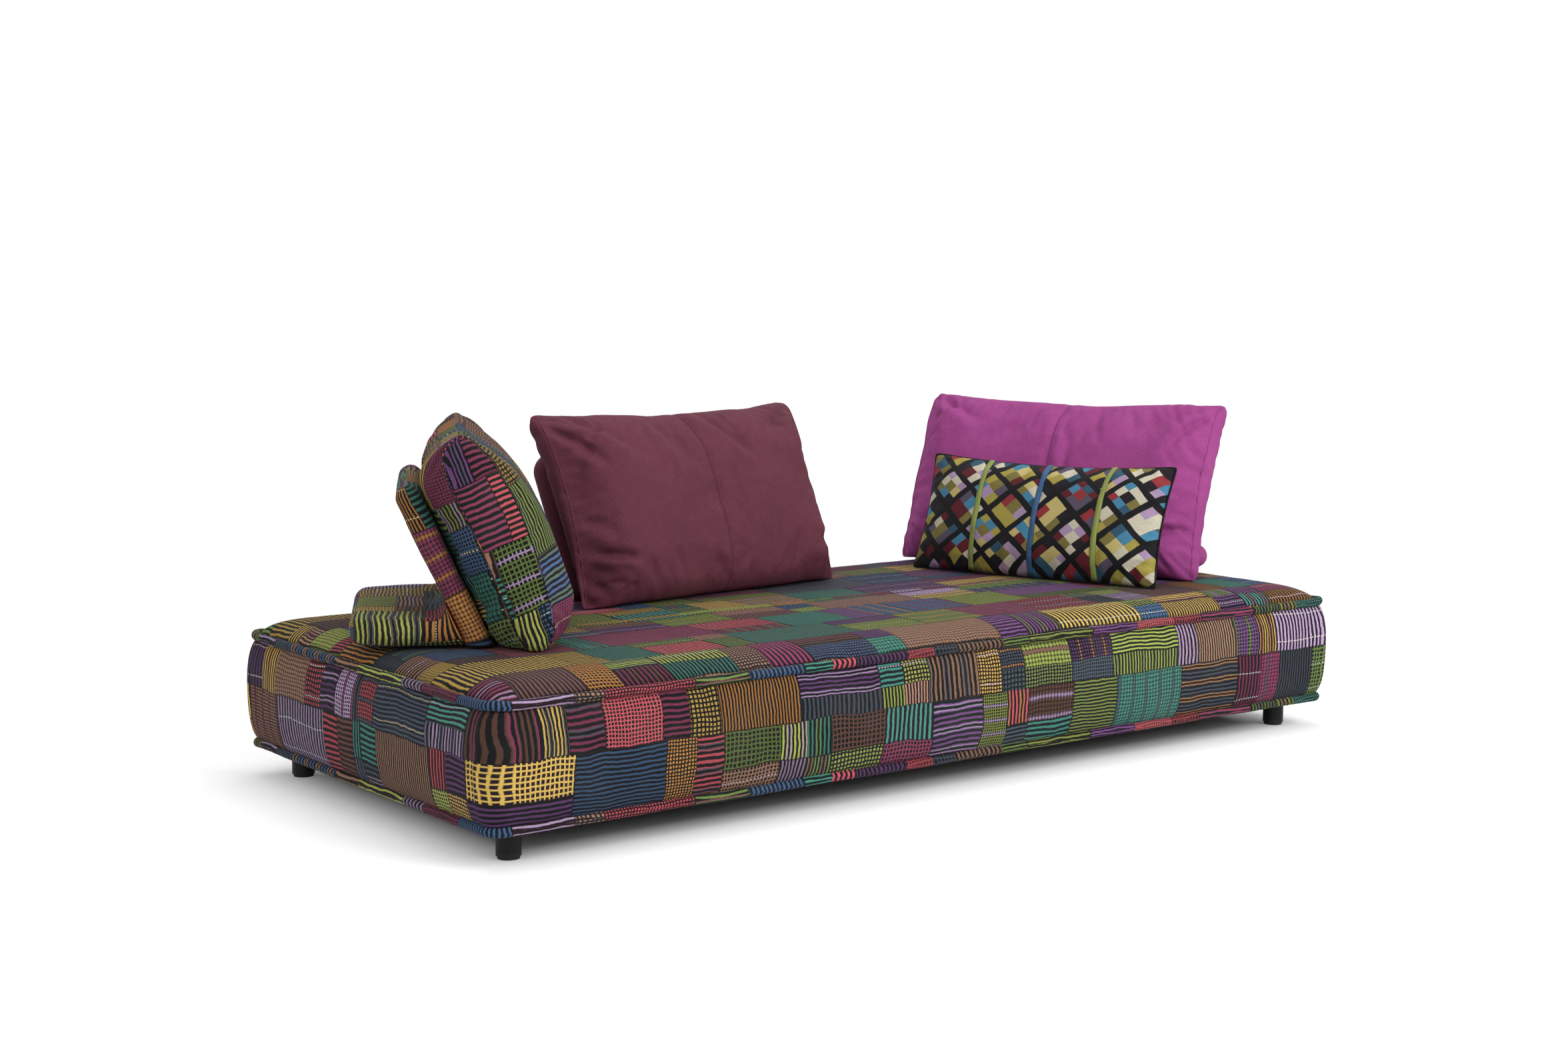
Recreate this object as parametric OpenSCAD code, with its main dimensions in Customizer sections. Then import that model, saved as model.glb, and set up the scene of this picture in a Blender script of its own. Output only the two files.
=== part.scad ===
// Low island sofa for three: an upholstered platform on four round legs, three loose weighted
// backrests that stand anywhere on its flat top, their back cushions and one lumbar cushion.
// Millimetres, +Z up, the origin on the floor under the centre of the platform.
// The long front side faces -Y and +X is the right end, seen from the front.

/* [Platform] */
// Length of the platform over its rolled seams
platform_length = 2400; // [1900:10:3000]
// Depth of the platform over its rolled seams
platform_depth = 1060; // [960:10:1300]
// Height of the bottom seam above the floor
bottom_seam_height = 75; // [60:1:120]
// Height of the top seam above the floor
top_seam_height = 312; // [280:1:380]
// Rise of the flat top above its seam
crown_rise = 43; // [20:1:60]
// Width of the rounded roll round the top
crown_roll = 90; // [50:1:120]
// How far the sides swell out between the seams, where the cloth is drawn in
side_swell = 32; // [24:1:50]
// Corner radius of the rolled seams in plan
corner_radius = 44; // [40:1:90]
// Radius of the rolled seams
seam_radius = 10; // [5:0.5:12]
// Thickness of the quilted top cover
cover_thickness = 4; // [2:0.5:6]
// Thickness of the padded side border at its seams
border_thickness = 10; // [6:1:20]

/* [Legs] */
// Diameter of a leg
leg_diameter = 50; // [35:1:70]
// Distance of a leg's axis from the sides over the rolled seams
leg_inset = 92; // [75:1:150]
// Height of the felt glide under a leg
glide_height = 6; // [3:0.5:10]
// Diameter of the glide
glide_diameter = 44; // [30:1:60]
// Diameter of the stud that screws the leg on
stud_diameter = 10; // [8:1:12]
// Length of the stud inside the leg
stud_in_leg = 38; // [25:1:45]
// Length of the stud above the mounting plate
stud_in_block = 30; // [20:1:50]
// Side of the square mounting plate
plate_side = 80; // [60:1:100]
// Thickness of the mounting plate
plate_thickness = 3; // [2:0.5:5]
// Diameter of a plate screw
screw_diameter = 5; // [4:0.5:6]
// Length of a plate screw's shank
screw_length = 30; // [15:1:45]

/* [Frame] */
// Thickness of the timber rails
rail_thickness = 28; // [20:1:40]
// Height of the timber rails
rail_height = 100; // [70:1:120]
// Thickness of the side foam between rails and border
side_foam_thickness = 20; // [10:1:40]
// Number of cross rails
cross_rail_count = 3; // [1:1:5]
// Side of the corner blocks
block_side = 75; // [60:1:100]

/* [Suspension] */
// Width of a webbing strap
strap_width = 50; // [30:1:70]
// Thickness of a webbing strap
strap_thickness = 2; // [1:0.5:3]
// Number of straps from front to back
cross_strap_count = 18; // [8:1:24]
// Number of straps from end to end
long_strap_count = 6; // [3:1:8]
// Thickness of the felt pad over the webbing
felt_thickness = 4; // [2:0.5:8]

/* [Backrests] */
// Thickness of the padded back shell
shell_thickness = 53; // [45:1:80]
// Lean of the shell from upright
shell_lean = 25; // [16:0.5:28]
// Height of the shell's top above the platform
shell_height = 340; // [260:1:400]
// Corner radius of the shell's top
shell_corner = 52; // [40:1:90]
// Distance of the shell's front face behind the cushion's front line, at the platform
shell_setback = 119; // [105:1:140]
// Thickness of the padded foot behind the shell
foot_thickness = 56; // [45:1:70]
// Radius of the fold between the foot and the shell
fold_radius = 26; // [10:1:40]
// Corner radius of the foot in plan
foot_corner = 95; // [60:1:120]
// Thickness of the non-slip sheet under the backrest
grip_thickness = 4; // [2:0.5:6]
// Width of the shell and foot of the two large backrests
large_shell_width = 690; // [500:5:900]
// Reach of a large foot behind the cushion's front line
large_foot_reach = 315; // [300:5:420]
// Width of the shell and foot of the small backrest
small_shell_width = 560; // [450:5:800]
// Reach of the small foot behind the cushion's front line
small_foot_reach = 415; // [330:5:430]
// Thickness of the steel base plate
base_plate_thickness = 8; // [4:1:12]
// Thickness of the board in the shell
board_thickness = 15; // [9:1:18]

/* [Cushions] */
// Height of a back cushion along its leaning middle line
cushion_height = 482; // [400:2:540]
// Width of a large back cushion at its corners
large_cushion_width = 826; // [650:2:950]
// Width of the small back cushion at its corners
small_cushion_width = 692; // [550:2:850]
// Lean of a back cushion's middle line from upright
cushion_lean = 23.5; // [16:0.5:25]
// Distance of the middle line's foot behind the front line
cushion_base = 29; // [20:1:50]
// How far a back cushion sinks together on the platform
cushion_sink = 10; // [2:1:20]
// How far its middle line slumps forward half way up
cushion_slump = 12; // [0:1:24]
// How far its front swells before the middle line
cushion_front_swell = 103; // [50:1:120]
// How far its back could swell behind the middle line
cushion_back_swell = 100; // [50:1:120]
// Radius of its rounded lower edge
cushion_bottom_round = 80; // [40:1:100]
// Length over which its front rounds off towards its upper edge
cushion_front_top_round = 135; // [60:1:180]
// Length over which its back rounds off towards its upper edge
cushion_back_top_round = 58; // [40:1:110]
// Radius of the edge of its end panel
cushion_end_round = 12; // [5:1:30]
// Distance from an end over which the small cushion swells
small_end_swell = 72; // [50:1:160]
// Distance from an end over which a large cushion swells
large_end_swell = 115; // [50:1:160]
// Width of the lumbar cushion at its corners
lumbar_width = 680; // [500:2:800]
// Height of the lumbar cushion along its face
lumbar_height = 308; // [240:2:360]
// Swell of the lumbar cushion before its seam
lumbar_front_swell = 62; // [40:1:80]
// Swell of the lumbar cushion behind its seam
lumbar_back_swell = 58; // [30:1:60]
// Lean of the lumbar cushion from upright
lumbar_lean = 21; // [10:0.5:24]
// Width of a ribbon on the lumbar cushion
ribbon_width = 15; // [8:1:25]
// Thickness of a ribbon
ribbon_thickness = 2; // [1:0.5:3]

/* [Places] */
// Left backrest: distance of its front line's centre from the left end
left_from_end = 465; // [440:1:540]
// Left backrest: front line's centre behind the platform's centre
left_y = 18; // [0:1:60]
// Left backrest: turn of its width direction from the length of the sofa
left_turn = 61; // [55:0.5:67]
// Middle backrest: front line's centre to the right of the platform's centre
middle_x = -130; // [-160:1:-100]
// Middle backrest: distance of its front line's centre from the back
middle_from_back = 334; // [334:1:380]
// Middle backrest: turn of its width direction
middle_turn = 6.5; // [3:0.5:6.5]
// Right backrest: distance of its front line's centre from the right end
right_from_end = 401; // [389:1:440]
// Right backrest: front line's centre behind the platform's centre
right_y = 74; // [30:1:100]
// Right backrest: turn of its width direction
right_turn = -69.5; // [-75:0.5:-64]
// Lumbar cushion: place along the right backrest's width
lumbar_shift = 36; // [-60:1:60]
// Lumbar cushion: distance of its lower edge before the right cushion's front line
lumbar_ahead = 152; // [150:1:170]
// Lumbar cushion: turn against the right backrest
lumbar_turn = -2; // [-6:0.5:4]

/* [Hidden] */

// Gap at which a soft piece lies from what carries it
rest_gap = 0.3;
// Play of a steel piece in its padding, and of a screw in its hole
fit_gap = 0.2;
// How far a cutting shape runs past what it cuts
overrun = 1;
// Thickness of the cloth under the frame
dust_cloth_thickness = 2;
// Head of a plate screw
screw_head_diameter = 9;
screw_head_height = 3;
// Distance of the steel from the edges of its padding
steel_margin = 45;
// Distance of the board from the shell's top and sides
board_top_margin = 40;
board_side_margin = 40;
// Depth and half width of the sewn channel down the middle of a large back cushion
channel_depth = 5;
channel_half_width = 16;
// Gap under a ribbon
ribbon_gap = 0.1;

// Shares of a size, chosen by hand
small_side_draw_share = 0.014;
large_side_draw_share = 0.03;
foot_draw_share = 0.034;
top_sag_share = 0.052;
small_end_panel_share = 0.6;
large_end_panel_share = 0.46;
crown_gain_share = 0.06;
lumbar_side_draw_share = 0.035;
lumbar_top_sag_share = 0.06;
edge_round_shares = [0.03, 0.14, 0.32, 0.6, 1];
corner_round_shares = [0.5, 0.75, 1];
ribbon_place_shares = [-0.47, 0.03, 0.55];

// Steps of the curved forms
corner_steps = 6;
crown_steps = 6;
swell_steps = 8;
swell_power = 2.6;
slab_steps = 5;
fold_steps = 4;
cushion_columns = 11;
cushion_rows = 12;
lumbar_columns = 10;
lumbar_rows = 10;
$fn = 48;

// Heights of the platform's layers
top_height = top_seam_height + crown_rise;
frame_bottom = bottom_seam_height + dust_cloth_thickness + plate_thickness;
frame_top = frame_bottom + rail_height;
felt_bottom = frame_top + strap_thickness * 2;
foam_bottom = felt_bottom + felt_thickness;

// Plan sizes of the frame
face_inset = seam_radius * 2;
face_radius = corner_radius - face_inset;
inner_inset = face_inset + border_thickness;
inner_radius = face_radius - border_thickness;
frame_length = platform_length - (inner_inset + side_foam_thickness) * 2;
frame_depth = platform_depth - (inner_inset + side_foam_thickness) * 2;
inner_length = frame_length - rail_thickness * 2;
inner_depth = frame_depth - rail_thickness * 2;
leg_x = platform_length / 2 - leg_inset;
leg_y = platform_depth / 2 - leg_inset;

// Sizes shared by the backrests
pad_bottom = rest_gap + grip_thickness;
half_shell = shell_thickness / 2;
half_foot = foot_thickness / 2;
shell_run = (shell_height - half_shell * sin(shell_lean)) / cos(shell_lean);

// Joins a list of lists into one list
function joined(lists) = [for (list = lists) for (item = list) item];

// Points of a quarter circle
function corner_arc(centre_x, centre_y, radius, start) = [
    for (i = [0:corner_steps])
        let (angle = start + i * 90 / corner_steps)
        [centre_x + radius * cos(angle), centre_y + radius * sin(angle)]
];

// Rounded rectangle of the platform, drawn in by inset
function platform_outline(inset, radius) =
    let (x = platform_length / 2 - inset - radius, y = platform_depth / 2 - inset - radius)
    joined([
        corner_arc(x, y, radius, 0),
        corner_arc(-x, y, radius, 90),
        corner_arc(-x, -y, radius, 180),
        corner_arc(x, -y, radius, 270)
    ]);

// The same outline as a ring of points in space
function platform_ring(inset, height, radius) =
    [for (point = platform_outline(inset, radius)) [point[0], point[1], height]];

// Triangles between neighbouring rings, first ring lowest, points counted anticlockwise from above
function band_faces(count, bands, rings) = [
    for (k = [0:bands - 1], i = [0:count - 1])
        let (
            low = k % rings * count,
            high = (k + 1) % rings * count,
            next = (i + 1) % count
        )
        each [[low + i, high + i, high + next], [low + i, high + next, low + next]]
];

// Triangles that close the first and the last ring
function cap_faces(count, rings) =
    let (last = (rings - 1) * count)
    joined([
        [for (i = [1:count - 2]) [0, i, i + 1]],
        [for (i = [1:count - 2]) [last, last + i + 1, last + i]]
    ]);

// Solid through a row of rings, closed at both ends
module loft(rings) {
    count = len(rings[0]);
    polyhedron(
        points = joined(rings),
        faces = concat(band_faces(count, len(rings) - 1, len(rings)), cap_faces(count, len(rings)))
    );
}

// Solid through rings that come back to the first one, open in its middle
module closed_loft(rings) {
    count = len(rings[0]);
    polyhedron(points = joined(rings), faces = band_faces(count, len(rings), len(rings)));
}

// Flat plate that fills the border's inside
module inner_plate(thickness) {
    linear_extrude(thickness)
        polygon(platform_outline(inner_inset, inner_radius));
}

// Places its children at the four legs
module at_legs() {
    for (x = [-1, 1], y = [-1, 1])
        translate([x * leg_x, y * leg_y, 0])
            children();
}

// Legs and their hardware

module leg(x, y) {
    color("#161616")
        translate([x * leg_x, y * leg_y, glide_height])
            difference() {
                cylinder(h = bottom_seam_height - glide_height, d = leg_diameter);
                translate([0, 0, bottom_seam_height - glide_height - stud_in_leg])
                    cylinder(h = stud_in_leg + overrun, d = stud_diameter + fit_gap * 2);
            }
}

module leg_glides() {
    color("#3a3836")
        at_legs()
            cylinder(h = glide_height, d = glide_diameter);
}

module leg_studs() {
    color("#9a9ca0")
        at_legs()
            translate([0, 0, bottom_seam_height - stud_in_leg])
                cylinder(
                    h = stud_in_leg + dust_cloth_thickness + plate_thickness + stud_in_block,
                    d = stud_diameter
                );
}

// Places its children at the four screws of one mounting plate
module at_plate_screws() {
    reach = plate_side / 2 - screw_head_diameter;
    for (x = [-1, 1], y = [-1, 1])
        translate([x * reach, y * reach, 0])
            children();
}

module leg_plates() {
    color("#8d9094")
        at_legs()
            translate([0, 0, frame_bottom - plate_thickness])
                difference() {
                    translate([-plate_side / 2, -plate_side / 2, 0])
                        cube([plate_side, plate_side, plate_thickness]);
                    translate([0, 0, -overrun])
                        cylinder(h = plate_thickness + overrun * 2, d = stud_diameter + fit_gap * 2);
                    at_plate_screws()
                        translate([0, 0, -overrun])
                            cylinder(h = plate_thickness + overrun * 2, d = screw_diameter + fit_gap * 2);
                }
}

module plate_screws() {
    color("#b5b7ba")
        at_legs()
            at_plate_screws() {
                translate([0, 0, frame_bottom - plate_thickness])
                    cylinder(h = plate_thickness + screw_length, d = screw_diameter);
                translate([0, 0, frame_bottom - plate_thickness - screw_head_height])
                    cylinder(h = screw_head_height, d = screw_head_diameter);
            }
}

// Holes in the timber for the studs and the plate screws
module timber_holes() {
    at_legs() {
        translate([0, 0, frame_bottom - overrun])
            cylinder(h = stud_in_block + overrun * 2, d = stud_diameter + fit_gap * 2);
        at_plate_screws()
            translate([0, 0, frame_bottom - overrun])
                cylinder(h = screw_length + overrun * 2, d = screw_diameter + fit_gap * 2);
    }
}

// Timber frame

module long_rail(side) {
    front = side * (frame_depth - rail_thickness) / 2 - rail_thickness / 2;
    color("#c9a673")
        difference() {
            translate([-frame_length / 2, front, frame_bottom])
                cube([frame_length, rail_thickness, rail_height]);
            timber_holes();
        }
}

module end_rail(side) {
    left = side * (frame_length - rail_thickness) / 2 - rail_thickness / 2;
    color("#c2a06e")
        difference() {
            translate([left, -inner_depth / 2, frame_bottom])
                cube([rail_thickness, inner_depth, rail_height]);
            timber_holes();
        }
}

module cross_rails() {
    pitch = inner_length / (cross_rail_count + 1);
    color("#bf9b66")
        for (i = [1:cross_rail_count])
            translate([i * pitch - inner_length / 2 - rail_thickness / 2, -inner_depth / 2, frame_bottom])
                cube([rail_thickness, inner_depth, rail_height]);
}

module corner_blocks() {
    color("#b58f5a")
        difference() {
            for (x = [-1, 1], y = [-1, 1])
                translate([x * inner_length / 2, y * inner_depth / 2, frame_bottom])
                    rotate([0, 0, x > 0 ? (y > 0 ? 180 : 90) : (y > 0 ? 270 : 0)])
                        linear_extrude(rail_height)
                            polygon([
                                [0, 0],
                                [block_side, 0],
                                [block_side, block_side / 3],
                                [block_side / 3, block_side],
                                [0, block_side]
                            ]);
            timber_holes();
        }
}

// Webbing, felt and foam

module cross_straps() {
    pitch = (frame_length - strap_width) / (cross_strap_count - 1);
    color("#4a4a4c")
        for (i = [0:cross_strap_count - 1])
            translate([i * pitch - frame_length / 2, -frame_depth / 2, frame_top])
                cube([strap_width, frame_depth, strap_thickness]);
}

module long_straps() {
    pitch = (frame_depth - strap_width) / (long_strap_count - 1);
    color("#5a5a5c")
        for (i = [0:long_strap_count - 1])
            translate([-frame_length / 2, i * pitch - frame_depth / 2, frame_top + strap_thickness])
                cube([frame_length, strap_width, strap_thickness]);
}

module felt_pad() {
    color("#8a8378")
        translate([0, 0, felt_bottom])
            inner_plate(felt_thickness);
}

module foam_core() {
    color("#e8dfc4")
        translate([0, 0, foam_bottom])
            inner_plate(top_seam_height - foam_bottom);
}

module side_foam() {
    bottom = bottom_seam_height + dust_cloth_thickness;
    color("#ddd3b6")
        translate([0, 0, bottom])
            difference() {
                inner_plate(felt_bottom - bottom);
                translate([-frame_length / 2, -frame_depth / 2, -overrun])
                    cube([frame_length, frame_depth, felt_bottom - bottom + overrun * 2]);
            }
}

// Ring of the crowned top at an angle up its roll, drawn in by depth under the outer face
function crown_ring(angle, depth) =
    let (
        drawn = crown_roll * (1 - cos(angle)),
        height = top_seam_height + (crown_rise - depth) * sin(angle)
    )
    platform_ring(
        face_inset + drawn + depth * cos(angle),
        height,
        face_radius + drawn / 2 - depth * cos(angle)
    );

function crown_rings(depth) = [for (i = [0:crown_steps]) crown_ring(i * 90 / crown_steps, depth)];

function reversed(list) = [for (i = [len(list) - 1:-1:0]) list[i]];

module topper() {
    color("#f1ede2")
        loft(crown_rings(cover_thickness));
}

// Covers of the platform

module top_cover() {
    color("#5b4a4e")
        loft(concat(reversed(crown_rings(cover_thickness)), crown_rings(0)));
}

module side_border() {
    height = top_seam_height - bottom_seam_height - seam_radius * 2;
    outside = joined([
        [platform_ring(face_inset, bottom_seam_height, face_radius)],
        [for (i = [0:swell_steps])
            let (swell = side_swell * sqrt(1 - pow(abs(2 * i / swell_steps - 1), swell_power)))
            platform_ring(
                face_inset - swell,
                bottom_seam_height + seam_radius + height * i / swell_steps,
                face_radius + swell
            )],
        [platform_ring(face_inset, top_seam_height, face_radius)]
    ]);
    inside = [
        platform_ring(inner_inset, top_seam_height, inner_radius),
        platform_ring(inner_inset, bottom_seam_height, inner_radius)
    ];
    color("#54484f")
        closed_loft(concat(outside, inside));
}

// Tube that runs round the platform along a seam
module rolled_seam(height) {
    radius = corner_radius - seam_radius;
    x = platform_length / 2 - corner_radius;
    y = platform_depth / 2 - corner_radius;
    translate([0, 0, height])
        union() {
            for (side = [-1, 1]) {
                translate([-x, side * (y + radius), 0])
                    rotate([0, 90, 0])
                        cylinder(h = x * 2, r = seam_radius);
                translate([side * (x + radius), y, 0])
                    rotate([90, 0, 0])
                        cylinder(h = y * 2, r = seam_radius);
            }
            for (place = [[x, y, 0], [-x, y, 90], [-x, -y, 180], [x, -y, 270]])
                translate([place[0], place[1], 0])
                    rotate([0, 0, place[2]])
                        rotate_extrude(angle = 90)
                            translate([radius, 0])
                                circle(seam_radius);
        }
}

module bottom_rolled_seam() {
    color("#3f5a4e")
        rolled_seam(bottom_seam_height);
}

module top_rolled_seam() {
    color("#4c3f5e")
        rolled_seam(top_seam_height);
}

module dust_cloth() {
    head_space = screw_head_diameter + fit_gap * 2;
    color("#242424")
        difference() {
            translate([0, 0, bottom_seam_height])
                inner_plate(dust_cloth_thickness);
            at_legs() {
                translate([0, 0, bottom_seam_height - overrun])
                    cylinder(h = dust_cloth_thickness + overrun * 2, d = stud_diameter + fit_gap * 2);
                at_plate_screws()
                    translate([0, 0, bottom_seam_height - overrun])
                        cylinder(h = dust_cloth_thickness + overrun * 2, d = head_space);
            }
        }
}

// Backrests, each drawn with its width along X, its back towards +Y and the platform's top at zero

// Place of a point in the shell: across, up along its lean, and out from its middle plane
function shell_point(across, up, out) =
    let (middle = shell_setback + half_shell / cos(shell_lean))
    [
        across,
        middle + up * sin(shell_lean) + out * cos(shell_lean),
        up * cos(shell_lean) - out * sin(shell_lean)
    ];

// How far a rounded end draws in at a distance from its tip
function drawn_in(radius, distance) =
    distance < radius ? radius - sqrt(radius * radius - (radius - distance) * (radius - distance)) : 0;

// Cross-section with round sides, as pairs of across and out
function slab_section(half_width, half_thick) = joined([
    [for (i = [0:slab_steps])
        let (angle = i * 180 / slab_steps - 90)
        [half_width - half_thick + half_thick * cos(angle), half_thick * sin(angle)]],
    [for (i = [0:slab_steps])
        let (angle = i * 180 / slab_steps + 90)
        [half_thick - half_width + half_thick * cos(angle), half_thick * sin(angle)]]
]);

// Distances from a rounded end at which a ring is drawn, furthest first
function end_stations(half_thick, corner) = concat(
    reversed([for (share = corner_round_shares) if (share * corner > half_thick) share * corner]),
    reversed([for (share = edge_round_shares) share * half_thick])
);

// Cross-section of a slab at a distance from its rounded end
function end_section(width, half_thick, corner, distance) = slab_section(
    width / 2 - drawn_in(corner, distance),
    half_thick - drawn_in(half_thick, distance)
);

// Steel plate that weighs the backrest down, let into the foot's underside and grown by a gap
module base_plate_shape(width, reach, gap, below) {
    front = shell_setback + shell_thickness / cos(shell_lean) + foot_thickness * tan(shell_lean);
    translate([steel_margin - width / 2 - gap, front - gap, pad_bottom - below])
        cube([
            width - steel_margin * 2 + gap * 2,
            reach - steel_margin - front + gap * 2,
            base_plate_thickness + gap + below
        ]);
}

// Board in the shell's middle plane, grown by a gap
module back_board_shape(width, gap, below) {
    half = (board_thickness / 2 + gap) / cos(shell_lean);
    middle = shell_setback + half_shell / cos(shell_lean);
    low = pad_bottom - below;
    high = shell_height - board_top_margin + gap;
    translate([board_side_margin - width / 2 - gap, 0, 0])
        rotate([90, 0, 90])
            linear_extrude(width - board_side_margin * 2 + gap * 2)
                polygon([
                    [middle + low * tan(shell_lean) - half, low],
                    [middle + low * tan(shell_lean) + half, low],
                    [middle + high * tan(shell_lean) + half, high],
                    [middle + high * tan(shell_lean) - half, high]
                ]);
}

module base_plate(width, reach) {
    color("#6d7075")
        base_plate_shape(width, reach, 0, 0);
}

module back_board(width) {
    color("#b8925c")
        back_board_shape(width, 0, 0);
}

// Padded back shell, cut level at its foot and rounded at its top
module shell(width, tint) {
    bottom = [
        for (point = slab_section(width / 2, half_shell))
            shell_point(point[0], (pad_bottom + point[1] * sin(shell_lean)) / cos(shell_lean), point[1])
    ];
    rest = [
        for (distance = end_stations(half_shell, shell_corner))
            [for (point = end_section(width, half_shell, shell_corner, distance))
                shell_point(point[0], shell_run - distance, point[1])]
    ];
    color(tint)
        difference() {
            mirrored_loft(concat([bottom], rest));
            back_board_shape(width, fit_gap, overrun);
        }
}

// Loft whose rings run clockwise from above
module mirrored_loft(rings) {
    loft([for (ring = rings) reversed(ring)]);
}

// Where the shell's back face would meet the platform, and where the fold ends on the foot's top
shell_back = shell_setback + shell_thickness / cos(shell_lean);
foot_top = pad_bottom + foot_thickness;
fold_end = shell_back + foot_top * tan(shell_lean) + fold_radius * tan(45 + shell_lean / 2);

// Ring of the foot between the shell's back and the end of the fold, at a share of the fold
function fold_ring(width, share) =
    let (
        angle = 180 - shell_lean + share * (90 + shell_lean),
        ring_y = fold_end + fold_radius * cos(angle),
        ring_z = foot_top + fold_radius + fold_radius * sin(angle),
        foot_y = (shell_back + pad_bottom * tan(shell_lean)) * (1 - share) + fold_end * share
    )
    [
        for (point = slab_section(width / 2, half_foot))
            let (rise = (point[1] + half_foot) / foot_thickness)
            [point[0], foot_y + (ring_y - foot_y) * rise, pad_bottom + (ring_z - pad_bottom) * rise]
    ];

// Padded foot behind the shell, which folds up against the shell's back
module foot(width, reach, tint) {
    middle = pad_bottom + half_foot;
    corner = min(foot_corner, reach - fold_end - overrun);
    fold = [for (i = [0:fold_steps]) fold_ring(width, i / fold_steps)];
    rest = [
        for (distance = end_stations(half_foot, corner))
            [for (point = end_section(width, half_foot, corner, distance))
                [point[0], reach - distance, middle + point[1]]]
    ];
    color(tint)
        difference() {
            mirrored_loft(concat(fold, rest));
            base_plate_shape(width, reach, fit_gap, overrun);
        }
}

// Non-slip sheet under the shell and the foot
module grip_sheet(width, reach) {
    front = shell_setback + half_shell;
    color("#2c2c2e")
        translate([0, 0, rest_gap])
            linear_extrude(grip_thickness)
                union() {
                    translate([steel_margin - width / 2, front])
                        square([width - steel_margin * 2, reach - steel_margin - front]);
                    translate([foot_corner - width / 2, front])
                        square([width - foot_corner * 2, reach - half_foot - front]);
                }
}

module small_grip_sheet() {
    grip_sheet(small_shell_width, small_foot_reach);
}

module large_grip_sheet() {
    grip_sheet(large_shell_width, large_foot_reach);
}

module small_base_plate() {
    base_plate(small_shell_width, small_foot_reach);
}

module large_base_plate() {
    base_plate(large_shell_width, large_foot_reach);
}

module small_foot(tint) {
    foot(small_shell_width, small_foot_reach, tint);
}

module large_foot(tint) {
    foot(large_shell_width, large_foot_reach, tint);
}

// Cushions

// Share of the full swell at a distance from an edge that is rounded with a radius
function rounded_share(distance, radius) =
    distance < radius ? sqrt(1 - pow(1 - distance / radius, 2)) : 1;

// Fullness across a back cushion, whose flat end panel stands between two seams
function fullness_across(distance, share, run) =
    share * rounded_share(distance, cushion_end_round)
    + (1 - share) * rounded_share(distance, run);

// Dip of the sewn channel down the middle
function channel(across, depth) =
    depth * max(0, 1 - abs(across) / channel_half_width);

// Even steps turned into steps that gather towards both edges
function gathered(share) = sin(share * 90);

// Point of a back cushion's face: side is -1 for the front and 1 for the back
function back_cushion_point(large, across, up, side) =
    let (
        width = large ? large_cushion_width : small_cushion_width,
        draw = large ? large_side_draw_share : small_side_draw_share,
        share = large ? large_end_panel_share : small_end_panel_share,
        run = large ? large_end_swell : small_end_swell,
        depth = large && side < 0 ? channel_depth : 0,
        level = (up + 1) / 2,
        x = across * width / 2 * (1 - draw * (1 - up * up) - foot_draw_share * (1 - level)),
        rise = cushion_height * level * (1 - top_sag_share * (1 - across * across) * level) - cushion_sink,
        edge = (1 - abs(up)) * cushion_height / 2,
        top_round = side < 0 ? cushion_front_top_round : cushion_back_top_round,
        full = fullness_across((1 - abs(across)) * width / 2, share, run)
            * rounded_share(edge, up < 0 ? cushion_bottom_round : top_round),
        crown = 1 - crown_gain_share + crown_gain_share * (1 - across * across) * (1 - up * up),
        swell = side < 0 ? cushion_front_swell : cushion_back_swell,
        seam_y = cushion_base + rise * sin(cushion_lean) - cushion_slump * sin(level * 180),
        seam_z = rest_gap + rise * cos(cushion_lean),
        to_shell = (shell_setback - rest_gap / cos(shell_lean) + seam_z * tan(shell_lean) - seam_y)
            / (cos(cushion_lean) + sin(cushion_lean) * tan(shell_lean)),
        room = side < 0 ? swell : to_shell,
        out = side * min(room, swell * full * crown - channel(x, depth) * full)
    )
    [x, seam_y + out * cos(cushion_lean), max(rest_gap, seam_z - out * sin(cushion_lean))];

// Point of the lumbar cushion's face, lifted off the face by lift
function lumbar_point(across, up, side, lift) =
    let (
        x = across * lumbar_width / 2 * (1 - lumbar_side_draw_share * (1 - up * up)),
        level = (up + 1) / 2,
        rise = lumbar_height * level * (1 - lumbar_top_sag_share * (1 - across * across) * up * max(up, 0)),
        full = sqrt((1 - pow(across, 4)) * (1 - pow(up, 4))),
        behind = min(lumbar_back_swell * full, rise / tan(lumbar_lean)),
        swell = side < 0 ? lumbar_front_swell * full : behind,
        out = side * (swell + lift),
        out_y = out * cos(lumbar_lean),
        out_z = out * sin(lumbar_lean)
    )
    [x, rise * sin(lumbar_lean) + out_y, rest_gap + rise * cos(lumbar_lean) - out_z];

// Places across a cushion, with a pair beside the middle for the sewn channel
function columns(count, width, channelled) = joined([
    [for (i = [-count:-1]) gathered(i / count)],
    channelled ? [-channel_half_width * 2 / width, 0, channel_half_width * 2 / width] : [0],
    [for (i = [1:count]) gathered(i / count)]
]);

function rows(count) = [for (j = [0:count]) gathered(j * 2 / count - 1)];

// Half a ribbon's width, as a place across the lumbar cushion
ribbon_half_place = ribbon_width / lumbar_width;

// Ordered list with a ribbon's two edges put in its place
function with_ribbon(list, place) = concat(
    [for (item = list) if (item < place - ribbon_half_place) item],
    [place - ribbon_half_place, place + ribbon_half_place],
    [for (item = list) if (item > place + ribbon_half_place) item]
);

// Places across the lumbar cushion, with the edges of its three ribbons
lumbar_across = with_ribbon(
    with_ribbon(
        with_ribbon(columns(lumbar_columns, lumbar_width, false), ribbon_place_shares[0]),
        ribbon_place_shares[1]
    ),
    ribbon_place_shares[2]
);

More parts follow.
